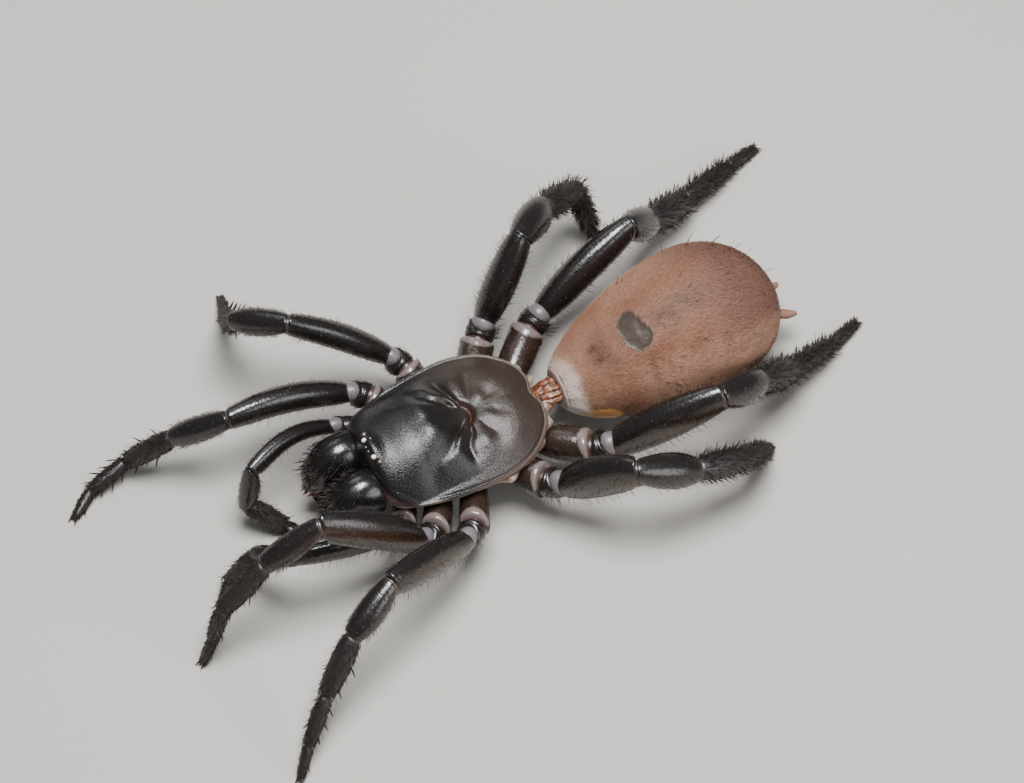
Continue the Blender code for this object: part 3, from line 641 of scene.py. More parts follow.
def paint_back(look):
    """Polished black at the front, smoky brown at the rear, with a pale thin margin."""
    paint = Paint("back_shell", Specular_IOR_Level=0.5)
    rear = paint.attribute("rear")
    rim = paint.attribute("rim")
    cloud = paint.noise(0.9, 4.0)
    tone = paint.mix((rear * (0.55 + cloud * 0.7)).clamped(), look.black, look.brown)
    warm = paint.mix(paint.step(paint.attribute("pit"), 0.35, 1.0) * 0.6, tone, PIT_BROWN)
    edge = paint.mix(rim, warm, look.rim)
    grain = paint.noise(13.0, 2.0, rough=0.6)
    pores = 1 - paint.step(paint.spots(2.2), 0.04, 0.10)
    fine = paint.bump(grain, look.grain)
    normal = paint.bump(pores * paint.step(cloud, 0.45, 0.6), look.grain * 0.5, fine)
    rough = look.gloss + rear * 0.10 + rim * 0.15 + grain * 0.12 - 0.06
    return paint.feed(edge, rough, normal)


def paint_jaws(look):
    paint = Paint("jaw_shell", Specular_IOR_Level=0.65)
    grain = paint.noise(9.0, 3.0)
    pits = 1 - paint.step(paint.spots(5.0), 0.03, 0.22)
    tone = paint.mix(paint.step(paint.noise(0.8), 0.5, 0.9) * 0.3, look.black, look.brown)
    normal = paint.bump(pits, look.grain * 0.3, paint.bump(grain, look.grain * 0.25))
    return paint.feed(tone, grain * 0.14 + (look.gloss - 0.12), normal)


def paint_fangs(look):
    paint = Paint("fang_horn", Specular_IOR_Level=0.6)
    tone = paint.mix(paint.attribute("along"), look.black, FANG_RED)
    grain = paint.noise(6.0)
    normal = paint.bump(grain, look.grain * 0.3)
    return paint.feed(tone, grain * 0.1 + 0.14, normal)


def paint_limbs(look):
    """Glossy brown-black shell that lets amber through below, with the pits of its hair."""
    paint = Paint("leg_shell", Specular_IOR_Level=0.65)
    under = paint.attribute("under")
    hip = paint.attribute("hip")
    lip = paint.attribute("lip")
    rough_end = paint.attribute("furry")
    cloud = paint.noise(0.7, 3.0)
    glow = paint.mix((under * (0.45 + cloud * 0.8)).clamped(), look.black, look.amber)
    tone = paint.mix(lip, paint.mix(hip, glow, look.coxa), look.lip)
    dots = 1 - paint.step(paint.spots(4.2), 0.06, 0.17)
    speck = paint.mix(dots * 0.35 * (1 - rough_end), tone, SOCKET_TAN)
    grain = paint.noise(7.0, 3.0)
    normal = paint.bump(dots, look.socket, paint.bump(grain, look.socket * 0.55))
    rough = grain * 0.12 + rough_end * 0.2 - lip * 0.08 + (look.gloss - 0.06)
    return paint.feed(speck, rough, normal)


def paint_joint_skin(look):
    """Lilac at the hips and tan at the knees, faintly creased."""
    paint = Paint("joint_skin", Subsurface_Weight=0.15, Subsurface_Scale=0.2 * MM)
    warm = paint.attribute("warm")
    cloud = paint.noise(1.6, 3.0)
    tone = paint.mix(warm, look.lilac, look.tan)
    shaded = paint.mix(paint.step(cloud, 0.5, 0.8) * 0.4, tone, CREASE_BROWN)
    crease = paint.noise(5.0, 4.0)
    normal = paint.bump(crease, 0.012 * MM)
    return paint.feed(shaded, crease * 0.2 + 0.26, normal)


def paint_skin_and_shade(look):
    paint = Paint("dark_skin")
    crease = paint.noise(4.0, 4.0)
    # Black in the hollows of the creases and brown on their ridges: painted shade
    tone = paint.mix(paint.step(crease, 0.4, 0.8), look.black, look.coxa)
    return paint.feed(tone, crease * 0.2 + 0.35, paint.bump(crease, 0.02 * MM))


def abdomen_tone(paint, look):
    """The abdomen's colours, from the marks stored on the surface or on the hair."""
    top = paint.attribute("crest")
    marks = paint.node("SeparateColor", sockets={0: paint.attribute("marks", "Color")})
    smear, patch, pale = (Value(paint, output) for output in marks.socket.node.outputs)
    pink = paint.attribute("rosy")
    cloud = paint.noise(0.55, 3.0)
    tone = paint.mix(top, look.tan, look.mauve)
    tone = paint.mix((pink * (0.5 + cloud)).clamped(), tone, look.rose)
    tone = paint.mix((smear * (0.55 + cloud * 0.5)).clamped(), tone, look.smear)
    tone = paint.mix(pale, tone, look.pale)
    tone = paint.mix(paint.attribute("lung"), tone, look.lung)
    return paint.mix(patch, tone, look.patch)


def paint_abdomen(look):
    """Velvet: fine streaks along the body in colour and in relief."""
    paint = Paint("abdomen_velvet", Subsurface_Weight=0.1, Subsurface_Scale=0.4 * MM, Specular_IOR_Level=0.35)
    lie = paint.stretched(1.0, 0.35, 1.0)
    pile = paint.noise(9.0, 4.0, lie, 0.6)
    tone = abdomen_tone(paint, look)
    wet = paint.attribute("wet")
    streaked = paint.mix(paint.step(pile, 0.42, 0.66) * (0.4 - wet * 0.35), tone, look.smear)
    normal = paint.bump(pile, 0.02 * MM)
    rough = 0.72 - wet * 0.47 + pile * 0.1
    return paint.feed(streaked, rough, normal)


def paint_waist(look):
    paint = Paint("waist_skin", Subsurface_Weight=0.15, Subsurface_Scale=0.3 * MM)
    folds = paint.noise(3.6, 4.0, paint.stretched(1.6, 0.5, 1.6))
    # Darker brown in the hollows of the folds: painted shade
    tone = paint.mix(paint.step(folds, 0.36, 0.62), FOLD_SHADE_BROWN, look.waist)
    return paint.feed(tone, folds * 0.2 + 0.12, paint.bump(folds, 0.09 * MM))


def paint_side_skin():
    """Pale soft skin that shows below the margin of the back plate, with painted shade in the hollows of its
    folds.
    """
    paint = Paint("side_skin", Subsurface_Weight=0.3, Subsurface_Scale=0.4 * MM)
    folds = paint.noise(1.8, 4.0)
    # The darker colour of the pair lies in the hollows of the folds: painted shade
    tone = paint.mix(paint.step(folds, 0.35, 0.7), *SIDE_SKIN_AND_SHADE)
    return paint.feed(tone, folds * 0.2 + 0.28, paint.bump(folds, 0.03 * MM))


def paint_breast(look):
    paint = Paint("breast_shell")
    cloud = paint.noise(0.9, 3.0)
    pits = 1 - paint.step(paint.spots(3.0), 0.05, 0.18)
    tone = paint.mix(cloud, look.coxa, look.amber)
    return paint.feed(tone, cloud * 0.15 + 0.28, paint.bump(pits, look.socket))


def paint_hair(name, ends, gloss):
    """Hair from dark to pale by each hair's own tone, paler towards the tip."""
    paint = Paint(name, Specular_IOR_Level=0.25)
    tone = paint.attribute("tone")
    tip = paint.attribute("tip")
    mixed = paint.mix((tone * (0.55 + tip * 0.6)).clamped(), *ends)
    return paint.feed(mixed, tip * 0.1 + gloss)


def paint_velvet(look):
    """The abdomen's own colours on its short hair, varied from hair to hair."""
    paint = Paint("velvet_hair", Specular_IOR_Level=0.12)
    tone = abdomen_tone(paint, look)
    draw = paint.attribute("tone")
    dark = paint.mix(paint.step(draw, 0.62, 0.9) * 0.6, tone, look.smear)
    light = paint.mix(paint.step(0.3 - draw, 0.0, 0.3) * 0.4, dark, VELVET_LIGHT)
    return paint.feed(light, paint.attribute("tip") * 0.1 + 0.65)


def paint_eye(name, centre, edge, gloss):
    paint = Paint(name, Coat_Weight=1.0, Coat_Roughness=0.03, Specular_IOR_Level=0.6)
    cloud = paint.noise(4.0)
    tone = paint.mix(paint.attribute("edge"), centre, edge)
    return paint.feed(paint.mix(cloud * 0.2, tone, edge), cloud * 0.08 + gloss)


def paint_floor(look):
    paint = Paint("pale_floor", Specular_IOR_Level=0.2)
    cloud = paint.noise(0.02, 3.0)
    tone = paint.mix(cloud * 0.12, look.floor, FLOOR_CLOUD)
    return paint.feed(tone, cloud * 0.1 + 0.8)


def smooth(value, low, high):
    """0 below low and 1 above high, with a soft step between."""
    part = np.clip((value - low) / (high - low), 0.0, 1.0)
    return part * part * (3 - 2 * part)


def hump(distance, width):
    return np.exp(-(distance / width) ** 2)


def ripple(points, per_mm, start=0.0):
    """Smooth noise between about -1 and 1 at each point."""
    shifted = points * per_mm + start
    return np.array([noise.noise(p) for p in shifted])


def unit(vectors):
    return vectors / np.maximum(np.linalg.norm(vectors, axis=-1, keepdims=True), 1e-12)


def points_of(piece):
    points = np.empty(len(piece.data.vertices) * 3)
    piece.data.vertices.foreach_get("co", points)
    return points.reshape(-1, 3)


def move_points(piece, points):
    piece.data.vertices.foreach_set("co", np.ascontiguousarray(points, dtype=np.float32).ravel())
    piece.data.update()


def settle(piece, points):
    """Moves a piece's points to places in the spider's own frame, given in millimetres."""
    move_points(piece, (points + BODY) * MM)


def store(piece, name, values):
    """Stores a number, or a colour, for each vertex."""
    values = np.ascontiguousarray(values, dtype=np.float32)
    kind = "FLOAT" if values.ndim == 1 else "FLOAT_COLOR"
    made = piece.data.attributes.new(name, kind, "POINT")
    made.data.foreach_set("value" if values.ndim == 1 else "color", values.ravel())


def deselect():
    bpy.ops.object.select_all(action="DESELECT")


def select_only(piece):
    deselect()
    piece.select_set(True)
    bpy.context.view_layer.objects.active = piece


def named(piece, name):
    piece.name = name
    piece.data.name = name
    return piece


def apply_place():
    bpy.ops.object.transform_apply(location=True, rotation=True, scale=True)


def subdivide(piece, levels=1):
    select_only(piece)
    made = piece.modifiers.new("smooth", "SUBSURF")
    made.levels = made.render_levels = levels
    bpy.ops.object.modifier_apply(modifier=made.name)


def copy_of(master, name):
    made = bpy.data.objects.new(name, master.data.copy())
    bpy.context.scene.collection.objects.link(made)
    return made


def remove(piece):
    mesh = piece.data
    bpy.data.objects.remove(piece)
    bpy.data.meshes.remove(mesh)


def join(pieces, name):
    select_only(pieces[0])
    for piece in pieces:
        piece.select_set(True)
    bpy.ops.object.join()
    return named(pieces[0], name)


def finish(piece, material, nodes=()):
    """Gives a piece its material and its body, and puts it in place of its solids."""
    piece.data.materials.clear()
    piece.data.materials.append(material)
    select_only(piece)
    bpy.ops.object.shade_smooth()
    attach(piece, CREATURE)
    if nodes:
        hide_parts(*nodes)
    return piece


def model_barrel(name, rings, sides):
    """A closed barrel along +Y: a disc drawn out from ring to ring and resized at each.

    A ring is its place along Y, its sideways and upward shift, and its two half sizes.
    """
    deselect()
    y, shift_x, shift_z, half_width, half_height = rings[0]
    bpy.ops.mesh.primitive_circle_add(
        vertices=sides, radius=1.0, fill_type="NGON", location=(shift_x, y, shift_z), rotation=POLE_TO_Y
    )
    barrel = named(bpy.context.object, name)
    barrel.scale = (half_width, half_height, 1.0)
    apply_place()
    bpy.ops.object.mode_set(mode="EDIT")
    bpy.ops.mesh.select_all(action="SELECT")
    for near, far in zip(rings, rings[1:]):
        move = (far[1] - near[1], far[0] - near[0], far[2] - near[2])
        bpy.ops.mesh.extrude_region_move(TRANSFORM_OT_translate={"value": move})
        centre = (far[1], far[0], far[2])
        bpy.ops.transform.resize(value=(far[3] / near[3], 1.0, far[4] / near[4]), center_override=centre)
    bpy.ops.mesh.select_all(action="SELECT")
    bpy.ops.mesh.normals_make_consistent(inside=False)
    bpy.ops.object.mode_set(mode="OBJECT")
    return barrel


def model_ball(name, segments, rings):
    """A unit ball with its poles along Y."""
    deselect()
    bpy.ops.mesh.primitive_uv_sphere_add(segments=segments, ring_count=rings, radius=1.0, rotation=POLE_TO_Y)
    apply_place()
    return named(bpy.context.object, name)


class Coat:
    """Gathers hairs as arrays, in millimetres, and turns them into one closed mesh."""

    def __init__(self, rings=2, sides=3):
        self.rings = rings
        self.sides = sides
        self.rows = []

    def add(self, roots, normals, lies, lengths, widths, lifts, curls, tones, places):
        """lifts and curls are degrees: a hair leaves the surface at its lift and bends back by its curl."""
        count = len(roots)
        sizes = (lengths, widths, lifts, curls, tones)
        full = [np.broadcast_to(np.asarray(size, float), (count,)) for size in sizes]
        self.rows.append((roots, unit(normals), unit(lies), *full, places))

    def build(self, name, extra=None):
        roots, normals, lies, lengths, widths, lifts, curls, tones, places = (
            np.concatenate(part) for part in zip(*self.rows)
        )
        count, rings, sides = len(roots), self.rings, self.sides
        lifts, curls = np.radians(lifts), np.radians(curls)
        across = unit(np.cross(lies, normals))
        points = np.empty((count, rings * sides + 1, 3))
        tips = np.empty((count, rings * sides + 1))
        spine = roots - normals * (0.5 * widths[:, None] + HAIR_ROOT)
        turn = 2 * np.pi * (np.arange(sides) + 0.5) / sides
        for ring in range(rings + 1):
            along = ring / rings
            angle = (lifts - curls * along)[:, None]
            heading = lies * np.cos(angle) + normals * np.sin(angle)
            if ring == rings:
                points[:, -1] = spine
                tips[:, -1] = 1.0
                break
            over = normals * np.cos(angle) - lies * np.sin(angle)
            size = widths[:, None] * (1 - HAIR_TAPER * along ** 2)
            for side, a in enumerate(turn):
                points[:, ring * sides + side] = spine + size * (across * math.cos(a) + over * math.sin(a))
                tips[:, ring * sides + side] = along
            spine = spine + heading * lengths[:, None] / rings
        corners = self.triangles()
        faces = (corners[None] + (np.arange(count) * points.shape[1])[:, None, None]).reshape(-1, 3)
        mesh = bpy.data.meshes.new(name)
        mesh.vertices.add(count * points.shape[1])
        mesh.vertices.foreach_set("co", ((points.reshape(-1, 3) + BODY) * MM).astype(np.float32).ravel())
        mesh.loops.add(faces.size)
        mesh.loops.foreach_set("vertex_index", faces.astype(np.int32).ravel())
        mesh.polygons.add(len(faces))
        mesh.polygons.foreach_set("loop_start", np.arange(0, faces.size, 3, dtype=np.int32))
        piece = bpy.data.objects.new(name, mesh)
        bpy.context.scene.collection.objects.link(piece)
        mesh.update(calc_edges=True)
        self.lay_out(mesh, places, faces, points.shape[1])
        store(piece, "tone", np.repeat(tones, points.shape[1]))
        store(piece, "tip", tips.ravel())
        for key, values in (extra or {}).items():
            store(piece, key, np.repeat(values, points.shape[1], axis=0))
        return piece

    def triangles(self):
        """The faces of one hair, as corners of its own points."""
        rings, sides = self.rings, self.sides
        faces = [(0, i + 1, i) for i in range(1, sides - 1)]
        for ring in range(rings - 1):
            for i in range(sides):
                a, b = ring * sides + i, ring * sides + (i + 1) % sides
                faces += [(a, b, b + sides), (a, b + sides, a + sides)]
        last = (rings - 1) * sides
        faces += [(last + i, last + (i + 1) % sides, rings * sides) for i in range(sides)]
        return np.array(faces)

    def lay_out(self, mesh, places, faces, each):
        """Unwraps each hair to a small patch at its root's place."""
        offsets = np.empty((each, 2))
        for ring in range(self.rings):
            for side in range(self.sides):
                down = ring / self.rings - 0.5 - 0.1 * (side == 1)
                offsets[ring * self.sides + side] = (side / self.sides - 0.4, down)
        offsets[-1] = (0.0, 0.5)
        spots = places[:, None] * (1 - UV_PATCH) + 0.5 * UV_PATCH + offsets[None] * UV_PATCH
        spots = spots.reshape(-1, 2)
        layer = mesh.uv_layers.new(name="OFBake")
        layer.data.foreach_set("uv", spots[faces.ravel()].astype(np.float32).ravel())


def direction(yaw, pitch):
    yaw, pitch = math.radians(yaw), math.radians(pitch)
    return Vector((math.cos(pitch) * math.sin(yaw), math.cos(pitch) * math.cos(yaw), math.sin(pitch)))


def limb_points(kind, limb):
    """The joints of a limb, from the coxa's root to the tarsus's end."""
    hip, yaws, pitches = STANCE[limb]
    root = Vector(COXA_ROOTS[kind])
    root.x *= 1 if limb.endswith("right") else -1
    points = [Vector(hip)]
    for reach, yaw, pitch in zip(LIMB_LENGTHS[kind][:-1], yaws, pitches):
        points.append(points[-1] + reach * direction(yaw, pitch))
    reach = LIMB_LENGTHS[kind][-1]
    sole = SOLE_SHARE * LIMB_WIDTHS[kind][-1][2] * DEPTH_RATIO["tarsus"]
    down = math.degrees(math.asin(min(0.98, (points[-1].z - sole) / reach)))
    points.append(points[-1] + reach * direction(yaws[-1], -down))
    to_hip = (points[0] - root).normalized()
    way = (to_hip + (points[1] - points[0]).normalized()).normalized()
    return [root, points[0] - TROCHANTER_LENGTH * way, *points]


class Segment:
    """One segment of a limb: its line, its thickness and the slanted cuts at its ends."""

    def __init__(self, kind, name, widths, ends, normals, basis, inset):
        self.name = name
        self.start = np.array(ends[0])
        self.length = (ends[1] - ends[0]).length
        self.along = np.array((ends[1] - ends[0]).normalized())
        self.side, self.up = (np.array(v) for v in basis)
        self.normals = [np.array(n) for n in normals]
        self.widths = widths
        self.depth = DEPTH_RATIO[name]
        self.inset = inset
        rise, outward = FEMUR_BOW[kind] if name == "femur" else (0.0, 0.0)
        self.bow = (outward if self.side[0] * self.start[0] > 0 else -outward, rise)

    def half_width(self, share):
        base, middle, end = self.widths
        swell = SWELL_PLACE[self.name]
        rising = base + (middle - base) * np.sin(0.5 * np.pi * np.clip(share / swell, 0, 1))
        falling = end + (middle - end) * np.cos(0.5 * np.pi * np.clip((share - swell) / (1 - swell), 0, 1.2))
        return np.where(share < swell, rising, falling) - self.inset

    def surface(self, share, x, z):
        """Points at a share of the length, and across it in shares of the thickness."""
        half = self.half_width(share)
        across, rise = x * half, z * half * self.depth
        crest = z / np.maximum(np.hypot(x, z), 1e-6)
        top, under = (np.clip((c - CUT_EDGE) / (1 - CUT_EDGE), 0, 1) for c in (crest, -crest))
        spread = np.clip(np.hypot(x, z), 0, 1)
        cuts = END_CUTS[self.name]
        bounds = []
        for normal, base, cut, sign in zip(self.normals, (0.0, self.length), cuts, (1, -1)):
            lean = max(0.5, self.along @ normal)
            slant = -(across * (self.side @ normal) + rise * (self.up @ normal)) / lean
            bounds.append(base + slant + sign * (SHELL_GAP / lean + spread * (cut[0] * top + cut[1] * under)))
        low, high = bounds
        y = low + (high - low) * share
        arch = np.sin(np.pi * np.clip(share, 0, 1))
        return (
            self.start + np.outer(across + arch * self.bow[0], self.side)
            + np.outer(rise + arch * self.bow[1], self.up) + np.outer(y, self.along)
        )

    def roots(self, share, angle):
        """Where hairs stand: points, normals and ways along the limb, at degrees from the top."""
        turn = np.radians(angle)
        here = self.surface(share, np.sin(turn), np.cos(turn))
        ahead = self.surface(share + 0.01, np.sin(turn), np.cos(turn)) - here
        beside = self.surface(share, np.sin(turn + 0.02), np.cos(turn + 0.02)) - here
        normals = unit(np.cross(ahead, beside))
        outward = here - (self.start + np.outer(share * self.length, self.along))
        normals *= np.where(np.sum(normals * outward, axis=1) < 0, -1.0, 1.0)[:, None]
        return here, normals, unit(ahead)

    def area(self):
        return 2 * math.pi * float(np.mean(self.half_width(np.linspace(0, 1, 9)))) * self.length


def limb_segments(limb, inset):
    """The segments of a limb, laid end to end as the solids are."""
    kind = limb.rsplit("_", 1)[0]
    names = PALP_SEGMENTS if kind == "palp" else LEG_SEGMENTS
    points = limb_points(kind, limb)
    ways = [(b - a).normalized() for a, b in zip(points, points[1:])]
    planes = [ways[0], *((a + b).normalized() for a, b in zip(ways, ways[1:])), ways[-1]]
    side = ways[0].cross(UP).normalized()
    up = side.cross(ways[0])
    made = []
    for i, (name, widths) in enumerate(zip(names, LIMB_WIDTHS[kind])):
        if i > 0:
            turn = ways[i - 1].rotation_difference(ways[i])
            side, up = turn @ side, turn @ up
        depth = inset if name in FURRY else BARE_INSET * inset
        ends, normals = (points[i], points[i + 1]), (planes[i], planes[i + 1])
        made.append(Segment(kind, name, widths, ends, normals, (side, up), depth))
    return made


def limb_nodes(limb):
    return [f"{limb}_{part}" for part in (PALP_NODES if limb.startswith("palp") else LEG_NODES)]


def settings_of(context):
    return context.scene.spider


def outline_point(turn):
    """The margin of the back plate at a share of the way round from its rear middle, as x and y."""
    half = [Vector((x, y)) for x, y in BACK_OUTLINE]
    ring = half + [Vector((-p.x, p.y)) for p in reversed(half[1:-1])]
    count = len(ring)
    table = []
    for i in range(count):
        a, b, c, d = (ring[(i + k) % count] for k in (-1, 0, 1, 2))
        for step in range(12):
            t = step / 12
            table.append(0.5 * (2 * b + (c - a) * t + (2 * a - 5 * b + 4 * c - d) * t * t
                                + (3 * b - a - 3 * c + d) * t ** 3))
    table = np.array([*table, table[0]])
    place = np.mod(turn, 1.0) * (len(table) - 1)
    return np.stack([np.interp(place, np.arange(len(table)), table[:, k]) for k in (0, 1)], axis=1)


def back_shape(x, y, share, relief):
    """Height of the back plate, and how deep its pit and grooves are there."""
    roll_rear, roll_front = MARGIN_ROLL
    inside = 1 - share ** (roll_rear + (roll_front - roll_rear) * smooth(y, *MARGIN_ROLL_SPAN))
    sideways, along = THORAX_REACH
    thorax = THORAX_RISE * np.maximum(0.1, 1 - (x / sideways) ** 2 - ((y - FOVEA_Y) / along) ** 2)
    across = np.maximum(0.0, 1 - (np.abs(x) / CAPUT_HALF_WIDTH) ** CAPUT_SQUARENESS)
    caput = (CAPUT_RISE - CAPUT_FRONT_FALL * smooth(y, *CAPUT_FALL_SPAN)) * across * smooth(y, *CAPUT_SPAN)
    mound_x, mound_y, mound_rise = EYE_MOUND
    mound = mound_rise * np.exp(-((x / mound_x) ** 2 + ((y - EYE_MOUND_Y) / mound_y) ** 2))
    from_pit = np.hypot(x, y - FOVEA_Y)
    flat = np.stack([x, y, np.zeros_like(x)], axis=1)
    warp = ripple(flat, 0.9, 3.0)
    bow_middle = FOVEA_Y + FOVEA_BOW
    arc_yaw = np.degrees(np.arctan2(np.abs(x), bow_middle - y))
    arc_off = np.abs(np.hypot(x, y - bow_middle) - FOVEA_BOW)
    arc = hump(arc_off, FOVEA_HALF_WIDTH) * (1 - smooth(arc_yaw, *FOVEA_ENDS))
    pit = FOVEA_DEPTH * arc + HOLLOW[0] * hump(from_pit, HOLLOW[1])
    yaw = np.degrees(np.arctan2(np.abs(x), y - FOVEA_Y)) + GROOVE_WANDER * warp
    begun = smooth(from_pit, *GROOVE_START)
    grooves = sum(
        depth * hump(yaw - place, width) * begun * (1 - smooth(from_pit, 0.55 * reach, reach))
        for place, width, depth, reach in GROOVES
    )
    folds = sum(
        rise * np.exp(-((np.abs(x) - fold_x) / width) ** 2 - ((y - fold_y) / tall) ** 2)
        for fold_x, fold_y, width, tall, rise in FOLDS
    )
    small = ripple(flat, 1.6, 11.0) + 0.4 * ripple(flat, 3.6, 5.0)
    folds = folds + relief * small * (1 - smooth(y, 0.5, 2.6))
    (ridge, ridge_width, rise), (furrow, furrow_width, fall) = MARGIN_RIDGE, MARGIN_FURROW
    lip = rise * hump(share - ridge, ridge_width) - fall * hump(share - furrow, furrow_width)
    lip = lip * (1 - smooth(y, 1.0, 3.0))
    height = BACK_UNDERSIDE + BACK_RIM + inside * (thorax + caput + mound - grooves + folds) - pit + lip
    return height, np.clip(arc + 1.5 * grooves, 0, 1)


def margin_share(x, y):
    """How far out a place on the back plate lies: 0 at the pit and 1 at the margin."""
    turns = np.arange(720) / 720
    edge = outline_point(turns) - np.array((0.0, FOVEA_Y))
    yaws = np.arctan2(edge[:, 0], edge[:, 1])
    order = np.argsort(yaws)
    reach = np.interp(np.arctan2(x, y - FOVEA_Y), yaws[order], np.hypot(*edge.T)[order], period=2 * np.pi)
    return np.hypot(x, y - FOVEA_Y) / reach


def on_back(x, y, relief):
    """Points on the back plate's surface over places x, y."""
    x, y = np.atleast_1d(np.asarray(x, float)), np.atleast_1d(np.asarray(y, float))
    height, _ = back_shape(x, y, np.clip(margin_share(x, y), 0.0, 1.0), relief)
    return np.column_stack([x, y, height])


class SPIDER_OT_back(bpy.types.Operator):
    """Shape the back plate, the pale skin below its margin, and the breast plate"""

    bl_idname = "spider.back"
    bl_label = "Back and breast"

    def execute(self, context):
        look = settings_of(context)
        self.plate(look.shell)
        self.side_skin()
        self.breast(look.limbs)
        return {"FINISHED"}

    def plate(self, look):
        deselect()
        bpy.ops.mesh.primitive_uv_sphere_add(segments=BACK_SEGMENTS, ring_count=BACK_RINGS, radius=1.0)
        piece = named(bpy.context.object, "back_plate")
        bpy.ops.object.mode_set(mode="EDIT")
        bpy.ops.mesh.select_all(action="SELECT")
        bpy.ops.mesh.bisect(
            plane_co=(0, 0, 0), plane_no=(0, 0, 1), use_fill=True, clear_inner=True, threshold=1e-5
        )
        bpy.ops.mesh.extrude_region_move(TRANSFORM_OT_translate={"value": (0, 0, -0.1)})
        bpy.ops.transform.resize(value=(0.97, 0.97, 1.0), center_override=(0, 0, -0.1))
        bpy.ops.mesh.inset(thickness=0.2)
        bpy.ops.mesh.select_all(action="SELECT")
        bpy.ops.mesh.normals_make_consistent(inside=False)
        bpy.ops.object.mode_set(mode="OBJECT")
        ball = points_of(piece)
        below = ball[:, 2] < -0.01
        domed = np.sin(np.arccos(np.clip(ball[:, 2], 0, 1)))
        share = np.where(below, np.hypot(ball[:, 0], ball[:, 1]), domed)
        turn = np.arctan2(ball[:, 0], -ball[:, 1]) / (2 * np.pi)
        edge = outline_point(turn)
        x = edge[:, 0] * share
        y = FOVEA_Y + (edge[:, 1] - FOVEA_Y) * share
        height, pit = back_shape(x, y, share, look.relief / MM)
        settle(piece, np.stack([x, y, np.where(below, BACK_UNDERSIDE, height)], axis=1))
        store(piece, "rear", 1 - smooth(y + 0.6 * ripple(np.stack([x, y, x], axis=1), 0.6), -2.6, 1.2))
        start = 0.955 + 0.03 * smooth(y, -2.5, 1.5)
        yaw = np.degrees(np.arctan2(np.abs(x), y - FOVEA_Y))
        place, width, strength = FRONT_LINE
        line = strength * smooth(share, 0.972, 0.982) * hump(yaw - place, width)
        rim = smooth(share, start, start + 0.02) * (1 - 0.85 * smooth(y, -1.0, 2.0))
        store(piece, "rim", np.maximum(rim, line))
        store(piece, "pit", pit)
        finish(piece, paint_back(look), ["carapace"])

    def side_skin(self):
        """A soft lobed roll below the margin, fullest between the hips."""
        deselect()
        bpy.ops.mesh.primitive_torus_add(
            major_segments=260, minor_segments=20, major_radius=1.0, minor_radius=ROLL_RADIUS
        )
        piece = named(bpy.context.object, "side_skin")
        ring = points_of(piece)
        radius = np.hypot(ring[:, 0], ring[:, 1])
        turn = np.arctan2(ring[:, 0], -ring[:, 1]) / (2 * np.pi)
        edge = outline_point(turn)
        out, rise = (radius - 1.0) / ROLL_RADIUS, ring[:, 2] / ROLL_RADIUS
        away = unit(edge - np.array((0.0, FOVEA_Y)))
        yaw = np.degrees(np.arctan2(np.abs(edge[:, 0]), edge[:, 1] - FOVEA_Y))
        lobes = sum(reach * hump(yaw - place, width) for place, width, reach in SIDE_LOBES)
        lobes = lobes * (0.85 + 0.4 * ripple(np.stack([edge[:, 0], edge[:, 1], yaw * 0], axis=1), 1.1, 2.0))
        size = 0.14 + 0.30 * lobes
        flat = edge - away * (0.30 - 0.55 * lobes)[:, None] + away * (out * size)[:, None]
        height = ROLL_HEIGHT + rise * size * 0.95 - 0.12 * lobes
        settle(piece, np.column_stack([flat, height]))
        finish(piece, paint_side_skin())

    def breast(self, look):
        piece = model_ball("breast_plate", 64, 40)
        ball = points_of(piece)
        squared = np.sign(ball) * np.abs(ball) ** np.array((0.85, 0.9, 0.7))
        aside = np.abs(ball[:, 0]) - BREAST_DIMPLE_X
        dimples = sum(hump(np.hypot(aside, ball[:, 1] - y), 0.12) for y in BREAST_DIMPLES_Y)
        points = np.array(BREAST_MIDDLE) + squared * np.array(BREAST_HALF)
        points[:, 2] += 0.05 * dimples * (ball[:, 2] < 0)
        settle(piece, points)
        finish(piece, paint_breast(look), ["sternum"])


class SPIDER_OT_eyes(bpy.types.Operator):
    """Set the eight eyes on their mound"""

    bl_idname = "spider.eyes"
    bl_label = "Eyes"

    def execute(self, context):
        looks = {
            "pearl": paint_eye("eye_pearl", (0.80, 0.74, 0.70, 1.0), (0.30, 0.23, 0.20, 1.0), 0.18),
            "dark": paint_eye("eye_dark", (0.02, 0.018, 0.02, 1.0), (0.005, 0.004, 0.004, 1.0), 0.10),
            "amber": paint_eye("eye_amber", (0.075, 0.058, 0.048, 1.0), (0.02, 0.012, 0.007, 1.0), 0.12),
        }
        relief = settings_of(context).shell.relief / MM
        master = model_ball("eye_master", 28, 18)
        ball = points_of(master)
        for look, material in looks.items():
            made = []
            for x, y, radius, kind in EYES:
                if kind != look:
                    continue
                for side in (-1, 1):
                    eye = copy_of(master, f"eye_{side}")
                    shape = ball * radius * np.array(EYE_SHAPE)
                    sunk = np.array((0.0, 0.0, EYE_SINK * radius))
                    settle(eye, shape + on_back(side * x, y, relief) - sunk)
                    store(eye, "edge", smooth(np.hypot(ball[:, 0], ball[:, 1]), 0.6, 0.95))
                    made.append(eye)
            finish(join(made, f"eyes_{look}"), material)
        remove(master)
        return {"FINISHED"}


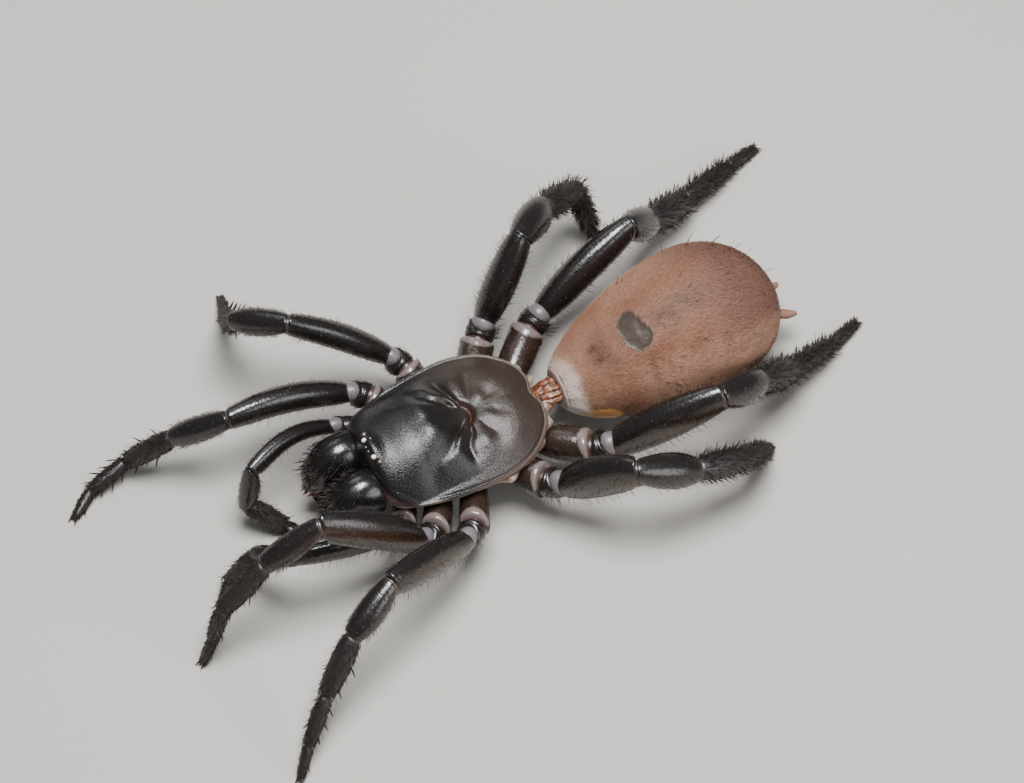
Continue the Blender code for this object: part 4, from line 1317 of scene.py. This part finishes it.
class SPIDER_OT_jaws(bpy.types.Operator):
    """Shape the jaws, their digging teeth and the folded fangs"""

    bl_idname = "spider.jaws"
    bl_label = "Jaws and fangs"

    def execute(self, context):
        look = settings_of(context)
        horn = paint_fangs(look.shell)
        self.jaws(look.shell)
        self.teeth(look.hair)
        self.fangs(horn)
        self.membrane_and_shade(look.limbs)
        return {"FINISHED"}

    def membrane_and_shade(self, look):
        """Soft skin between the back plate's front and the jaws, painted dark for the shade under the plate's
        front: partly real skin, partly painted shade.
        """
        piece = model_ball("jaw_skin", 40, 24)
        ball = points_of(piece)
        pleat = 1 + 0.02 * np.sin(ball[:, :1] * 30)
        settle(piece, np.array(JAW_SKIN_AND_SHADE_MIDDLE) + ball * np.array(JAW_SKIN_AND_SHADE_HALF) * pleat)
        finish(piece, paint_skin_and_shade(look))

    def jaws(self, look):
        master = model_barrel("jaw_master", [(y, 0.0, z, w, h) for y, z, w, h in JAW_RINGS], 28)
        subdivide(master, 2)
        points = points_of(master)
        material = paint_jaws(look)
        for word, side in SIDES:
            jaw = copy_of(master, f"jaw_{word}")
            shape = points.copy()
            shape[:, 2] += 0.03 * ripple(shape, 1.2, 4.0)
            shape[:, 0] = side * (shape[:, 0] + JAW_X)
            settle(jaw, shape)
            if side < 0:
                jaw.data.flip_normals()
            finish(jaw, material, [f"chelicera_{word}"])
        remove(master)

    def teeth(self, look):
        """Blunt reddish cones, rooted in the jaw's front."""
        master = model_barrel("tooth_master", [(y, 0.0, 0.0, r, r) for y, r in TOOTH_PROFILE], 8)
        subdivide(master)
        cone = points_of(master)
        made = []
        for side in (-1, 1):
            for x, y, z, reach, half, pitch in JAW_TEETH:
                tooth = copy_of(master, "tooth")
                way = np.array(direction(-side * x * 20, pitch))
                across = unit(np.cross(way, UP_ARRAY))
                over = np.cross(across, way)
                root = np.array((side * (JAW_X + x), y, z)) - way * TOOTH_ROOT
                shape = root + np.outer(cone[:, 1] * (reach + TOOTH_ROOT), way)
                shape += np.outer(cone[:, 0] * half, across) + np.outer(cone[:, 2] * half, over)
                settle(tooth, shape)
                store(tooth, "tip", cone[:, 1])
                store(tooth, "tone", np.full(len(cone), 0.5))
                made.append(tooth)
        remove(master)
        red = paint_hair("tooth_horn", (look.tooth, TOOTH_TIP), 0.25)
        finish(join(made, "jaw_teeth"), red)

    def fangs(self, horn):
        rings = [(-y, 0.0, z, r, r) for y, z, r in FANG_PATH]
        for word, side in SIDES:
            fang = model_barrel(f"fang_horn_{word}", rings, 14)
            subdivide(fang)
            shape = points_of(fang)
            along = (shape[:, 1] + FANG_PATH[0][0]) / (FANG_PATH[0][0] - FANG_PATH[-1][0])
            store(fang, "along", np.clip(along, 0, 1))
            shape[:, 1] *= -1
            shape[:, 0] += side * FANG_X
            settle(fang, shape)
            fang.data.flip_normals()
            finish(fang, horn, [f"fang_{word}"])


def abdomen_point(share, x, z, swell=0.0):
    """Points of the abdomen at shares of its length, in the direction x, z round it."""
    first, widest, last = ABDOMEN_HEIGHTS
    before = (ABDOMEN_WIDEST - share) / ABDOMEN_WIDEST
    behind = (share - ABDOMEN_WIDEST) / (1 - ABDOMEN_WIDEST)
    off = np.where(share < ABDOMEN_WIDEST, before, behind)
    roundness = np.where(share < ABDOMEN_WIDEST, *ABDOMEN_ROUNDNESS)
    full = np.sqrt(np.clip(1 - np.clip(off, 0, 1) ** roundness, 0, 1))
    middle = first + (widest - first) * smooth(share, 0.0, ABDOMEN_WIDEST)
    middle = middle - (widest - last) * smooth(share, ABDOMEN_WIDEST, 1.0)
    return np.stack([
        ABDOMEN_DRIFT * share + (ABDOMEN_HALF_WIDTH + swell) * full * x,
        ABDOMEN_FRONT_Y - ABDOMEN_LENGTH * share,
        middle + (ABDOMEN_HALF_HEIGHT + swell) * full * z,
    ], axis=1)


def line_angle(share):
    """Angle of the marks' middle line, which leans a little towards the rear."""
    return np.interp(share, (0.17, 0.36, 0.62), MARK_LINE)


def off_spot(share, angle, place, turn, girth):
    """Distance over the abdomen from a spot, where its radius is girth."""
    return np.hypot((share - place) * ABDOMEN_LENGTH, np.radians(angle - turn) * girth)


def abdomen_marks(share, angle, points):
    """The marks at places on the abdomen: heart mark, bare patch, pale front, and the rest by name."""
    wave = ripple(points, 1.1, 9.0)
    fine = ripple(points, 3.2, 2.0)
    off_line = angle - line_angle(share) + 4 * wave + 2 * fine
    dusk = 0.72 * hump(off_line, 17 + 12 * smooth(share, 0.16, 0.23)) * smooth(share, 0.13, 0.18)
    dusk = dusk * (1 - smooth(share, 0.22, 0.27))
    halo = 0.5 * hump(off_line, 22) * smooth(share, 0.24, 0.29) * (1 - smooth(share, 0.44, 0.50))
    streak = 0.95 * hump(off_line, 14) * smooth(share, 0.38, 0.43) * (1 - smooth(share, 0.55, 0.72))
    smear = np.maximum(np.maximum(dusk, halo), streak) * (0.8 + 0.35 * fine)
    for place, turn in SIGILLA:
        smear = np.maximum(smear, hump(off_spot(share, angle, place, turn, SIGILLA_GIRTH), 0.20))
    patch_share, patch_angle, patch_half, patch_across = PATCH
    around = np.radians(angle - patch_angle) * PATCH_GIRTH
    ahead = (share - patch_share) * ABDOMEN_LENGTH
    lean = math.radians(PATCH_LEAN)
    long = (around * math.cos(lean) + ahead * math.sin(lean)) / patch_across
    short = (ahead * math.cos(lean) - around * math.sin(lean)) / patch_half
    notch = 0.6 * hump(np.hypot(long - 0.30, short - 1.0), 0.48)
    oval = (np.abs(long) ** 2.4 + np.abs(short) ** 2.4) ** (1 / 2.4) + 0.07 * wave + 0.05 * fine + notch
    patch = 1 - smooth(oval, 0.93, 1.0)
    reach = 0.068 + 0.03 * hump(angle + 12, 40) + 0.045 * hump(angle + 95, 50) + 0.006 * wave
    pale = (1 - smooth(share, reach - 0.026, reach + 0.008)) * (0.55 + 0.45 * hump(angle + 95, 75))
    beside = hump(np.abs(off_line) - 26, 13) * smooth(share, 0.24, 0.34) * (1 - smooth(share, 0.55, 0.72))
    front = 0.55 * smooth(share, 0.08, 0.14) * (1 - smooth(share, 0.26, 0.36))
    rosy = np.maximum(beside, front) * (0.85 + 0.3 * wave)
    crest = smooth(np.cos(np.radians(angle + 4)) + 0.10 * wave, 0.15, 0.85)
    crest = crest * (0.55 + 0.45 * smooth(share, 0.45, 0.75))
    spot = np.hypot((share - LUNG[0]) * ABDOMEN_LENGTH / 0.95, (np.abs(angle) - LUNG[1]) / 20)
    lung = 1 - smooth(spot + 0.08 * wave, 0.75, 1.05)
    marks = np.stack([np.clip(smear, 0, 1), patch, pale, np.ones_like(share)], axis=1)
    return {"marks": marks, "rosy": np.clip(rosy, 0, 1), "crest": crest, "lung": lung}


class SPIDER_OT_abdomen(bpy.types.Operator):
    """Shape the abdomen with its marks, the waist and the spinnerets"""

    bl_idname = "spider.abdomen"
    bl_label = "Abdomen and waist"

    def execute(self, context):
        look = settings_of(context).abdomen
        velvet = paint_abdomen(look)
        self.skin(velvet)
        self.waist(look)
        self.spinnerets(velvet)
        return {"FINISHED"}

    def skin(self, velvet):
        piece = model_ball("abdomen_skin", ABDOMEN_SEGMENTS, ABDOMEN_RINGS)
        ball = points_of(piece)
        around = unit(ball[:, (0, 2)])
        share = ABDOMEN_NOSE + (1 - ABDOMEN_NOSE) * np.clip((1 - ball[:, 1]) / 2, 0, 1)
        nose = np.clip(np.hypot(ball[:, 0], ball[:, 2]) / 0.10, 0, 1) * (ball[:, 1] > 0) + (ball[:, 1] <= 0)
        angle = np.degrees(np.arctan2(around[:, 0], around[:, 1]))
        plain = abdomen_point(share, around[:, 0], around[:, 1])
        found = abdomen_marks(share, angle, plain)
        patch, collar = found["marks"][:, BARE], found["marks"][:, FRONT]
        height, per_mm, start = SWELLS
        swell = height * ripple(plain, per_mm, start) - 0.06 * patch + 0.035 * patch * ripple(plain, 2.4, 8.0)
        for place, turn in SIGILLA:
            swell = swell - 0.09 * hump(off_spot(share, angle, place, turn, SIGILLA_GIRTH), 0.22)
        for number in range(BEADS):
            place = BEAD_PLACE + BEAD_WANDER * math.sin(number * 2.1)
            turn = BEAD_TURNS[0] + BEAD_TURNS[1] * number / BEADS
            swell = swell + 0.035 * hump(off_spot(share, angle, place, turn, PATCH_GIRTH), 0.075)
        crease = hump((share - 0.359) * ABDOMEN_LENGTH, 0.14) * hump(angle + 58, 14)
        pleats = np.sin(np.radians(angle) * 11 + 2 * ripple(plain, 1.0)) * 0.05
        pleats = pleats + 0.06 * ripple(plain, 1.8, 4.0)
        swell = swell + collar * pleats - SKIN_DEPTH - 0.08 * crease + 0.10 * found["lung"]
        skin = abdomen_point(share, around[:, 0], around[:, 1], swell)
        axis = abdomen_point(share, around[:, 0] * 0, around[:, 1] * 0)
        settle(piece, axis + (skin - axis) * nose[:, None])
        for name, values in found.items():
            store(piece, name, values)
        store(piece, "wet", np.clip(collar + 0.9 * patch + found["lung"] * 0.7, 0, 1))
        finish(piece, velvet, ["abdomen"])

    def waist(self, look):
        rings = [(-y, 0.0, z, w, h) for y, z, w, h in WAIST_RINGS]
        piece = model_barrel("waist", rings, 24)
        subdivide(piece, 2)
        shape = points_of(piece)
        shape[:, 1] *= -1
        middle = np.interp(-shape[:, 1], [-r[0] for r in WAIST_RINGS], [r[1] for r in WAIST_RINGS])
        turn = np.arctan2(shape[:, 0], shape[:, 2] - middle)
        ridge = np.abs(np.sin(turn * 6.5 + 1.2 * np.sin(shape[:, 1] * 3.0))) ** 0.7
        fold = 0.90 + 0.16 * ridge + 0.02 * np.sin(shape[:, 1] * 14)
        shape[:, 0] *= fold
        shape[:, 2] = middle + (shape[:, 2] - middle) * fold
        settle(piece, shape)
        piece.data.flip_normals()
        finish(piece, paint_waist(look), ["pedicel"])

    def spinnerets(self, velvet):
        made = []
        for side in (-1, 1):
            rings = []
            for step in range(9):
                t = step / 8
                x, y, z = (np.interp(t, (0, 0.5, 1), row) for row in zip(*SPINNERET_POINTS))
                r = np.interp(t, (0, 0.5, 1), SPINNERET_RADII) * (0.94 if step in (3, 6) else 1.0)
                rings.append((-y, side * x + ABDOMEN_DRIFT, z, r, r))
            piece = model_barrel("spinneret", rings, 14)
            subdivide(piece)
            shape = points_of(piece)
            shape[:, 1] *= -1
            settle(piece, shape)
            piece.data.flip_normals()
            for name in ("rosy", "lung", "wet"):
                store(piece, name, np.zeros(len(shape)))
            store(piece, "crest", np.full(len(shape), 0.6))
            store(piece, "marks", np.tile((0.25, 0.0, 0.0, 1.0), (len(shape), 1)))
            made.append(piece)
        finish(join(made, "spinneret_pair"), velvet, ["spinneret_left", "spinneret_right"])


class SPIDER_OT_limbs(bpy.types.Operator):
    """Shape the shells of the legs and palps, the soft skin at their joints, and the claws"""

    bl_idname = "spider.limbs"
    bl_label = "Legs and palps"

    def execute(self, context):
        look = settings_of(context).limbs
        shell = paint_limbs(look)
        skin = paint_joint_skin(look)
        horn = paint_fangs(settings_of(context).shell)
        masters = {}
        for name, rings in BARREL_RINGS.items():
            full = [(y, 0.0, 0.0, size, size) for y, size in rings]
            masters[name] = model_barrel(f"{name}_master", full, BARREL_SIDES)
            subdivide(masters[name])
        ball = model_ball("joint_master", 28, 18)
        claw = self.claw_master()
        for limb in STANCE:
            segments = limb_segments(limb, look.inset / MM)
            self.shells(limb, segments, masters, shell)
            self.joint_skins(limb, segments, ball, skin)
            self.claws(limb, segments[-1], claw, horn)
        for master in (*masters.values(), ball, claw):
            remove(master)
        return {"FINISHED"}

    def shells(self, limb, segments, masters, material):
        made = []
        for segment in segments:
            piece = copy_of(masters[segment.name], "shell")
            x, y, z = points_of(piece).T
            settle(piece, segment.surface(y, x, z))
            crest = z / np.maximum(np.hypot(x, z), 1e-6)
            under = smooth(-crest, -0.80, 0.30) * (0.95 if segment.name == "femur" else 0.45)
            store(piece, "under", under)
            edge = 1.0 - LIP_SHARE * np.clip((crest - 0.1) / 0.9, 0, 1)
            lip = smooth(y, edge, edge + 0.015) if segment.name == "coxa" else np.zeros(len(x))
            store(piece, "lip", lip * smooth(crest, 0.1, 0.25))
            store(piece, "hip", np.full(len(x), {"coxa": 1.0, "trochanter": 0.12}.get(segment.name, 0.0)))
            store(piece, "furry", np.full(len(x), float(segment.name in FURRY)))
            made.append(piece)
        finish(join(made, f"{limb}_shell"), material, limb_nodes(limb))

    def joint_skins(self, limb, segments, ball, material):
        """A soft bulge at each joint, seen where the shells' ends are cut back."""
        made = []
        unit_points = points_of(ball)
        for near, far in zip(segments, segments[1:]):
            reach, fullness, shift, warm = JOINT_SKIN[far.name]
            piece = copy_of(ball, "skin")
            way = unit(near.along + far.along)
            side = unit(near.side + far.side)
            up = np.cross(side, way)
            across = fullness * 0.5 * (near.half_width(1.0) + far.half_width(0.0))
            rise = fullness * 0.5 * (near.half_width(1.0) * near.depth + far.half_width(0.0) * far.depth)
            x, y, z = unit_points.T
            pleat = 1 - 0.05 * hump(y - 0.12, 0.07) - 0.03 * hump(np.abs(y) - 0.5, 0.08)
            shape = far.start + np.outer(x * across * pleat, side) + np.outer(z * rise * pleat + shift, up)
            shape = shape + np.outer(y * reach, way)
            settle(piece, shape)
            store(piece, "warm", np.clip(warm + 0.5 * smooth(-z, 0.0, 0.6) * (warm > 0), 0, 1))
            made.append(piece)
        finish(join(made, f"{limb}_joint_skin"), material)

    def claw_master(self):
        """A small hooked claw of unit length."""
        rings = []
        for step in range(6):
            t = step / 5
            left = 1 - CLAW_TAPER * t
            rings.append((t, 0.0, -CLAW_HOOK * t * t, 0.20 * left, 0.24 * left))
        return model_barrel("claw_master", rings, 8)

    def claws(self, limb, tarsus, master, material):
        made = []
        hook = points_of(master)
        tip = tarsus.start + tarsus.along * (tarsus.length - 0.02)
        level = unit(tarsus.along * np.array((1.0, 1.0, 0.0)))
        across = unit(np.cross(level, UP_ARRAY))
        for side in (-1, 1):
            claw = copy_of(master, "claw")
            way = unit(level + side * CLAW_SPLAY * across)
            beside = unit(np.cross(way, UP_ARRAY))
            shape = tip + side * CLAW_GAP * across + CLAW_RISE * UP_ARRAY
            shape = shape + CLAW_LENGTH * (np.outer(hook[:, 1], way) + np.outer(hook[:, 0], beside))
            shape = shape + np.outer(CLAW_LENGTH * hook[:, 2], UP_ARRAY)
            shape[:, 2] = np.maximum(shape[:, 2], CLAW_CLEARANCE)
            settle(claw, shape)
            store(claw, "along", hook[:, 1])
            made.append(claw)
        finish(join(made, f"{limb}_claws"), material)


class SPIDER_OT_limb_hair(bpy.types.Operator):
    """Grow the hair and the spines of the legs and palps"""

    bl_idname = "spider.limb_hair"
    bl_label = "Leg hair and spines"

    def execute(self, context):
        settings = settings_of(context)
        look = settings.hair
        material = paint_hair("leg_bristle", (look.dark, look.pale), 0.28)
        for number, limb in enumerate(STANCE):
            rng = np.random.default_rng(look.seed * 100 + number)
            segments = limb_segments(limb, settings.limbs.inset / MM)
            rear = limb.startswith(REAR_LEGS)
            hair = Coat(rings=2)
            for index, segment in enumerate(segments):
                for layer in (REAR_COAT if rear else FRONT_COAT)[segment.name]:
                    self.cover(hair, segment, HairLayer(*layer), look.fullness, rng, (index, len(segments)))
            finish(hair.build(f"{limb}_hair"), material)
            spines = Coat(rings=3, sides=5)
            self.spines(spines, limb, segments, rng)
            finish(spines.build(f"{limb}_spines"), material)
        return {"FINISHED"}

    def cover(self, hair, segment, layer, fullness, rng, order):
        """Spreads one layer evenly over its band of the segment, with some jitter."""
        low, high = layer.shares
        area = segment.area() * (high - low) * layer.spread / 180
        count = max(1, int(area * layer.density * fullness))
        steps = np.arange(count)
        share = low + (high - low) * (steps + rng.random(count)) / count
        around = np.mod(steps * GOLDEN + 0.15 * rng.random(count), 1.0)
        angle = layer.middle + layer.spread * (2 * around - 1)
        roots, normals, lies = segment.roots(share, angle)
        swirl = np.radians(rng.normal(0, HAIR_SWIRL, count))[:, None]
        lies = lies * np.cos(swirl) + np.cross(normals, lies) * np.sin(swirl)
        index, total = order
        places = np.stack([(index + np.clip(share, 0, 1)) / total, np.mod(angle / 360, 1.0)], axis=1)
        clear = roots[:, 2] > ROOT_CLEARANCE
        draws = (
            layer.length * rng.uniform(*HAIR_LENGTHS, count), layer.width * rng.uniform(*HAIR_WIDTHS, count),
            layer.lift + rng.normal(0, HAIR_LIFT, count), rng.uniform(*HAIR_CURLS, count),
            np.clip(layer.pale + rng.normal(0, HAIR_PALENESS, count), 0, 1),
        )
        tips = roots[:, 2] + normals[:, 2] * layer.length * np.sin(np.radians(layer.lift))
        keep = clear & (tips > TIP_CLEARANCE)
        hair.add(roots[keep], normals[keep], lies[keep], *(d[keep] for d in draws), places[keep])

    def spines(self, coat, limb, segments, rng):
        rear = limb.startswith(REAR_LEGS)
        outer = 1 if limb.endswith("right") else -1
        table = REAR_SPINES if rear else LEG_SPINES
        scale = SPINE_SCALES.get(limb.rsplit("_", 1)[0], 1.0)
        for index, segment in enumerate(segments):
            for share, angle, reach in table.get(segment.name, ()):
                turn = angle * outer if segment.side[0] * outer > 0 else -angle * outer
                spot = np.array([share])
                roots, normals, lies = segment.roots(spot, np.array([float(turn)]))
                place = np.array([[(index + share) / len(segments), (turn / 360) % 1.0]])
                if roots[0, 2] + normals[0, 2] * reach * scale < SPINE_CLEARANCE:
                    continue
                lift = SPINE_LIFT + rng.normal(0, 4)
                coat.add(roots, normals, lies, reach * scale, SPINE_HALF_WIDTH, lift, SPINE_CURL, 0.1, place)


class SPIDER_OT_body_hair(bpy.types.Operator):
    """Grow the velvet and bristles of the abdomen, and the bristles of the jaws and the back plate"""

    bl_idname = "spider.body_hair"
    bl_label = "Body hair"

    def execute(self, context):
        settings = settings_of(context)
        look = settings.hair
        rng = np.random.default_rng(look.seed)
        bristle = paint_hair("body_bristle", (look.dark, look.pale), 0.34)
        self.velvet(look, paint_velvet(settings.abdomen), rng)
        self.abdomen_bristles(bristle, rng)
        self.jaw_bristles(bristle, rng)
        self.back_bristles(bristle, settings.shell.relief / MM, rng)
        return {"FINISHED"}

    def velvet(self, look, material, rng):
        """Short hair in halves, right and left, so that each piece stays small."""
        count = look.velvet
        steps = np.arange(count)
        cosine = 1 - 2 * (steps + 0.5) / count
        share = np.clip((1 - cosine) / 2 + rng.normal(0, 0.001, count), 0.04, 0.99)
        turn = np.mod(steps * GOLDEN, 1.0) * 360 - 180 + rng.normal(0, 0.6, count)
        x, z = np.sin(np.radians(turn)), np.cos(np.radians(turn))
        roots = abdomen_point(share, x, z, -SKIN_DEPTH)
        ahead = abdomen_point(np.clip(share + AHEAD, 0, 0.999), x, z, -SKIN_DEPTH) - roots
        next_turn = np.radians(turn + 1)
        beside = abdomen_point(share, np.sin(next_turn), np.cos(next_turn), -SKIN_DEPTH) - roots
        normals = unit(np.cross(beside, ahead))
        normals *= np.where(normals[:, 0] * x + normals[:, 2] * z < 0, -1.0, 1.0)[:, None]
        marks = abdomen_marks(share, turn, roots)
        patch, front = marks["marks"][:, BARE], marks["marks"][:, FRONT]
        bare = np.maximum(patch, np.maximum(front, marks["lung"]))
        keep = rng.random(count) > bare * 1.02
        height, per_mm, start = SWELLS
        roots = roots + normals * (height * ripple(roots, per_mm, start))[:, None]
        swirl = (0.5 * ripple(roots, 0.8, 21.0) + rng.normal(0, 0.22, count))[:, None]
        lies = unit(ahead) * np.cos(swirl) + np.cross(normals, unit(ahead)) * np.sin(swirl)
        reach = look.velvet_length / MM * rng.uniform(0.6, 1.25, count)
        places = np.stack([np.mod(turn / 360, 1.0), share], axis=1)
        for word, half in (("right", turn >= 0), ("left", turn < 0)):
            pick = keep & half
            coat = Coat(rings=1)
            lifts, tones = rng.normal(*VELVET_LIFT, pick.sum()), rng.random(pick.sum())
            base = (roots[pick], normals[pick], lies[pick], reach[pick])
            coat.add(*base, VELVET_HALF_WIDTH, lifts, 0.0, tones, places[pick])
            extra = {name: values[pick] for name, values in marks.items()}
            finish(coat.build(f"velvet_{word}", extra), material)

    def abdomen_bristles(self, material, rng):
        coat = Coat(rings=3, sides=4)
        spots = list(ABDOMEN_BRISTLES)
        for _ in range(LOOSE_BRISTLES):
            spots.append((rng.uniform(0.3, 0.98), rng.uniform(45, 315), rng.uniform(0.25, 0.6)))
        for share, turn, reach in spots:
            x, z = math.sin(math.radians(turn)), math.cos(math.radians(turn))
            root, after = (
                abdomen_point(np.array([along]), np.array([x]), np.array([z]), -SKIN_DEPTH)
                for along in (share, share + AHEAD)
            )
            ahead = after - root
            normal = unit(np.array([[x / ABDOMEN_HALF_WIDTH, 0.0, z / ABDOMEN_HALF_HEIGHT]]))
            normal = unit(normal - unit(ahead) * np.sum(normal * unit(ahead)))
            place = np.array([[(turn / 360) % 1.0, share]])
            pale = 0.75 if share > 0.66 and rng.random() > 0.4 else 0.1
            lift = rng.uniform(*BRISTLE_LIFTS)
            coat.add(root, normal, ahead, reach, BRISTLE_HALF_WIDTH, lift, BRISTLE_CURL, pale, place)
        finish(coat.build("abdomen_bristles"), material)

    def jaw_bristles(self, material, rng):
        """Rows along the jaws' upper sides, denser and longer towards the teeth."""
        coat = Coat(rings=3)
        rows = np.array(JAW_RINGS)
        for side in (-1, 1):
            for middle, spread, count, reach, span, pale in JAW_BRISTLES:
                y = rng.uniform(*span, count)
                angle = np.radians(rng.normal(middle, spread * 0.5, count))
                centre_z, half_x, half_z = (np.interp(y, rows[:, 0], rows[:, k]) for k in (1, 2, 3))
                x, z = np.sin(angle), np.cos(angle)
                roots = np.stack([side * (JAW_X + x * half_x), y, centre_z + z * half_z], axis=1)
                normals = unit(np.stack([side * x / half_x, 0.25 * smooth(y, 6.6, 7.5), z / half_z], axis=1))
                lies = np.tile((0.0, 1.0, -0.25), (count, 1)) + rng.normal(0, 0.2, (count, 3))
                lies = unit(lies - normals * np.sum(lies * normals, axis=1)[:, None])
                places = np.stack([0.5 + side * 0.24 + 0.2 * x, (y - 5.0) / 3.0], axis=1)
                lengths, lifts = reach * rng.uniform(0.6, 1.2, count), rng.normal(*JAW_LIFT, count)
                # Paler tones stand partly for painted glints on the bristles
                tones = np.clip(rng.normal(pale, 0.2, count), 0, 1)
                coat.add(roots, normals, lies, lengths, JAW_HALF_WIDTH, lifts, JAW_CURL, tones, places)
        finish(coat.build("jaw_bristles"), material)

    def back_bristles(self, material, relief, rng):
        """Tiny hairs along the margin of the back plate, and a few behind the eyes."""
        coat = Coat(rings=2)
        count = MARGIN_BRISTLES
        turn = rng.random(count)
        edge = outline_point(turn)
        share = rng.uniform(0.965, 1.0, count)
        x, y = edge[:, 0] * share, FOVEA_Y + (edge[:, 1] - FOVEA_Y) * share
        height, _ = back_shape(x, y, share, relief)
        away = unit(edge - np.array((0.0, FOVEA_Y)))
        lies = np.column_stack([away, np.zeros(count)]) + rng.normal(0, 0.25, (count, 3))
        normals = np.tile(UP_ARRAY, (count, 1))
        places = np.column_stack([turn, np.full(count, 0.95)])
        roots = np.column_stack([x, y, height])
        lengths = rng.uniform(*MARGIN_LENGTHS, count)
        coat.add(roots, normals, lies, lengths, 0.008, 25.0, 10.0, 0.45, places)
        few = EYE_BRISTLES
        side = rng.choice((-1.0, 1.0), few)
        x = side * rng.uniform(0.1, 1.5, few)
        y = rng.uniform(3.6, 4.7, few)
        roots = on_back(x, y, relief)
        lies = np.tile((0.0, 1.0, 0.0), (few, 1)) + rng.normal(0, 0.2, (few, 3))
        normals = np.tile((0.0, 0.2, 1.0), (few, 1))
        places = np.column_stack([0.5 + x / 9, 0.5 + y / 12])
        lengths = rng.uniform(*EYE_LENGTHS, few)
        coat.add(roots, normals, lies, lengths, 0.009, 50.0, 20.0, 0.3, places)
        finish(coat.build("back_bristles"), material)


class SPIDER_OT_stage(bpy.types.Operator):
    """Set the floor, the soft lights and the camera"""

    bl_idname = "spider.stage"
    bl_label = "Stage"

    def execute(self, context):
        look = settings_of(context).stage
        self.floor(look)
        right, up = CAMERA_RIGHT, CAMERA_UP
        across, rise = CAMERA_TARGET
        target = BODY * (1, 1, 0) + right * across + up * rise
        back = np.cross(right, up)
        self.camera(context, target, back)
        for name, (toward, rise, aside, far, size) in LIGHTS.items():
            way = unit(toward * back + rise * up + aside * right)
            self.light(f"{name}_light", target + far * way, target, size, getattr(look, name))
        world = bpy.data.worlds.new("soft_sky")
        world.use_nodes = True
        sky = world.node_tree.nodes["Background"]
        sky.inputs["Color"].default_value = SKY_BLUE
        sky.inputs["Strength"].default_value = look.sky
        context.scene.world = world
        return {"FINISHED"}

    def floor(self, look):
        deselect()
        bpy.ops.mesh.primitive_grid_add(x_subdivisions=8, y_subdivisions=8, size=1.2)
        piece = named(bpy.context.object, "floor")
        piece.data.materials.append(paint_floor(look))

    def camera(self, context, target, back):
        data = bpy.data.cameras.new("camera")
        made = bpy.data.objects.new("camera", data)
        context.scene.collection.objects.link(made)
        data.sensor_width = SENSOR_WIDTH
        data.lens = SENSOR_WIDTH * CAMERA_DISTANCE / PICTURE_WIDTH
        data.clip_start = 10 * MM
        data.clip_end = 10.0
        made.location = (target + back * CAMERA_DISTANCE) * MM
        columns = Matrix((CAMERA_RIGHT, CAMERA_UP, back)).transposed()
        made.rotation_euler = columns.to_euler()
        context.scene.camera = made

    def light(self, name, place, target, size, energy):
        data = bpy.data.lights.new(name, "AREA")
        data.shape = "DISK"
        data.size = size * MM
        data.energy = energy
        made = bpy.data.objects.new(name, data)
        bpy.context.scene.collection.objects.link(made)
        made.location = place * MM
        made.rotation_euler = Vector(target - place).to_track_quat("-Z", "Y").to_euler()


STEPS = (SPIDER_OT_stage, SPIDER_OT_back, SPIDER_OT_eyes, SPIDER_OT_jaws, SPIDER_OT_abdomen, SPIDER_OT_limbs,
         SPIDER_OT_limb_hair, SPIDER_OT_body_hair)


class SPIDER_PT_panel(bpy.types.Panel):
    """Lists the steps and their settings"""

    bl_idname = "SPIDER_PT_panel"
    bl_label = "Trapdoor Spider"
    bl_space_type = "VIEW_3D"
    bl_region_type = "UI"
    bl_category = "Spider"

    def draw(self, context):
        settings = context.scene.spider
        for group in ("shell", "limbs", "abdomen", "hair", "stage"):
            box = self.layout.box()
            box.label(text=group.capitalize())
            for name in getattr(settings, group).bl_rna.properties.keys():
                if name not in ("rna_type", "name"):
                    box.prop(getattr(settings, group), name)
        for step in STEPS:
            self.layout.operator(step.bl_idname)


CLASSES = (ShellSettings, LimbSettings, AbdomenSettings, HairSettings, StageSettings, SpiderSettings, *STEPS,
           SPIDER_PT_panel)


def register():
    for item in CLASSES:
        bpy.utils.register_class(item)
    bpy.types.Scene.spider = PointerProperty(type=SpiderSettings)


def unregister():
    del bpy.types.Scene.spider
    for item in reversed(CLASSES):
        bpy.utils.unregister_class(item)


def main():
    register()
    bpy.ops.spider.stage()
    bpy.ops.spider.back()
    bpy.ops.spider.eyes()
    bpy.ops.spider.jaws()
    bpy.ops.spider.abdomen()
    bpy.ops.spider.limbs()
    bpy.ops.spider.limb_hair()
    bpy.ops.spider.body_hair()


if __name__ == "__main__":
    main()
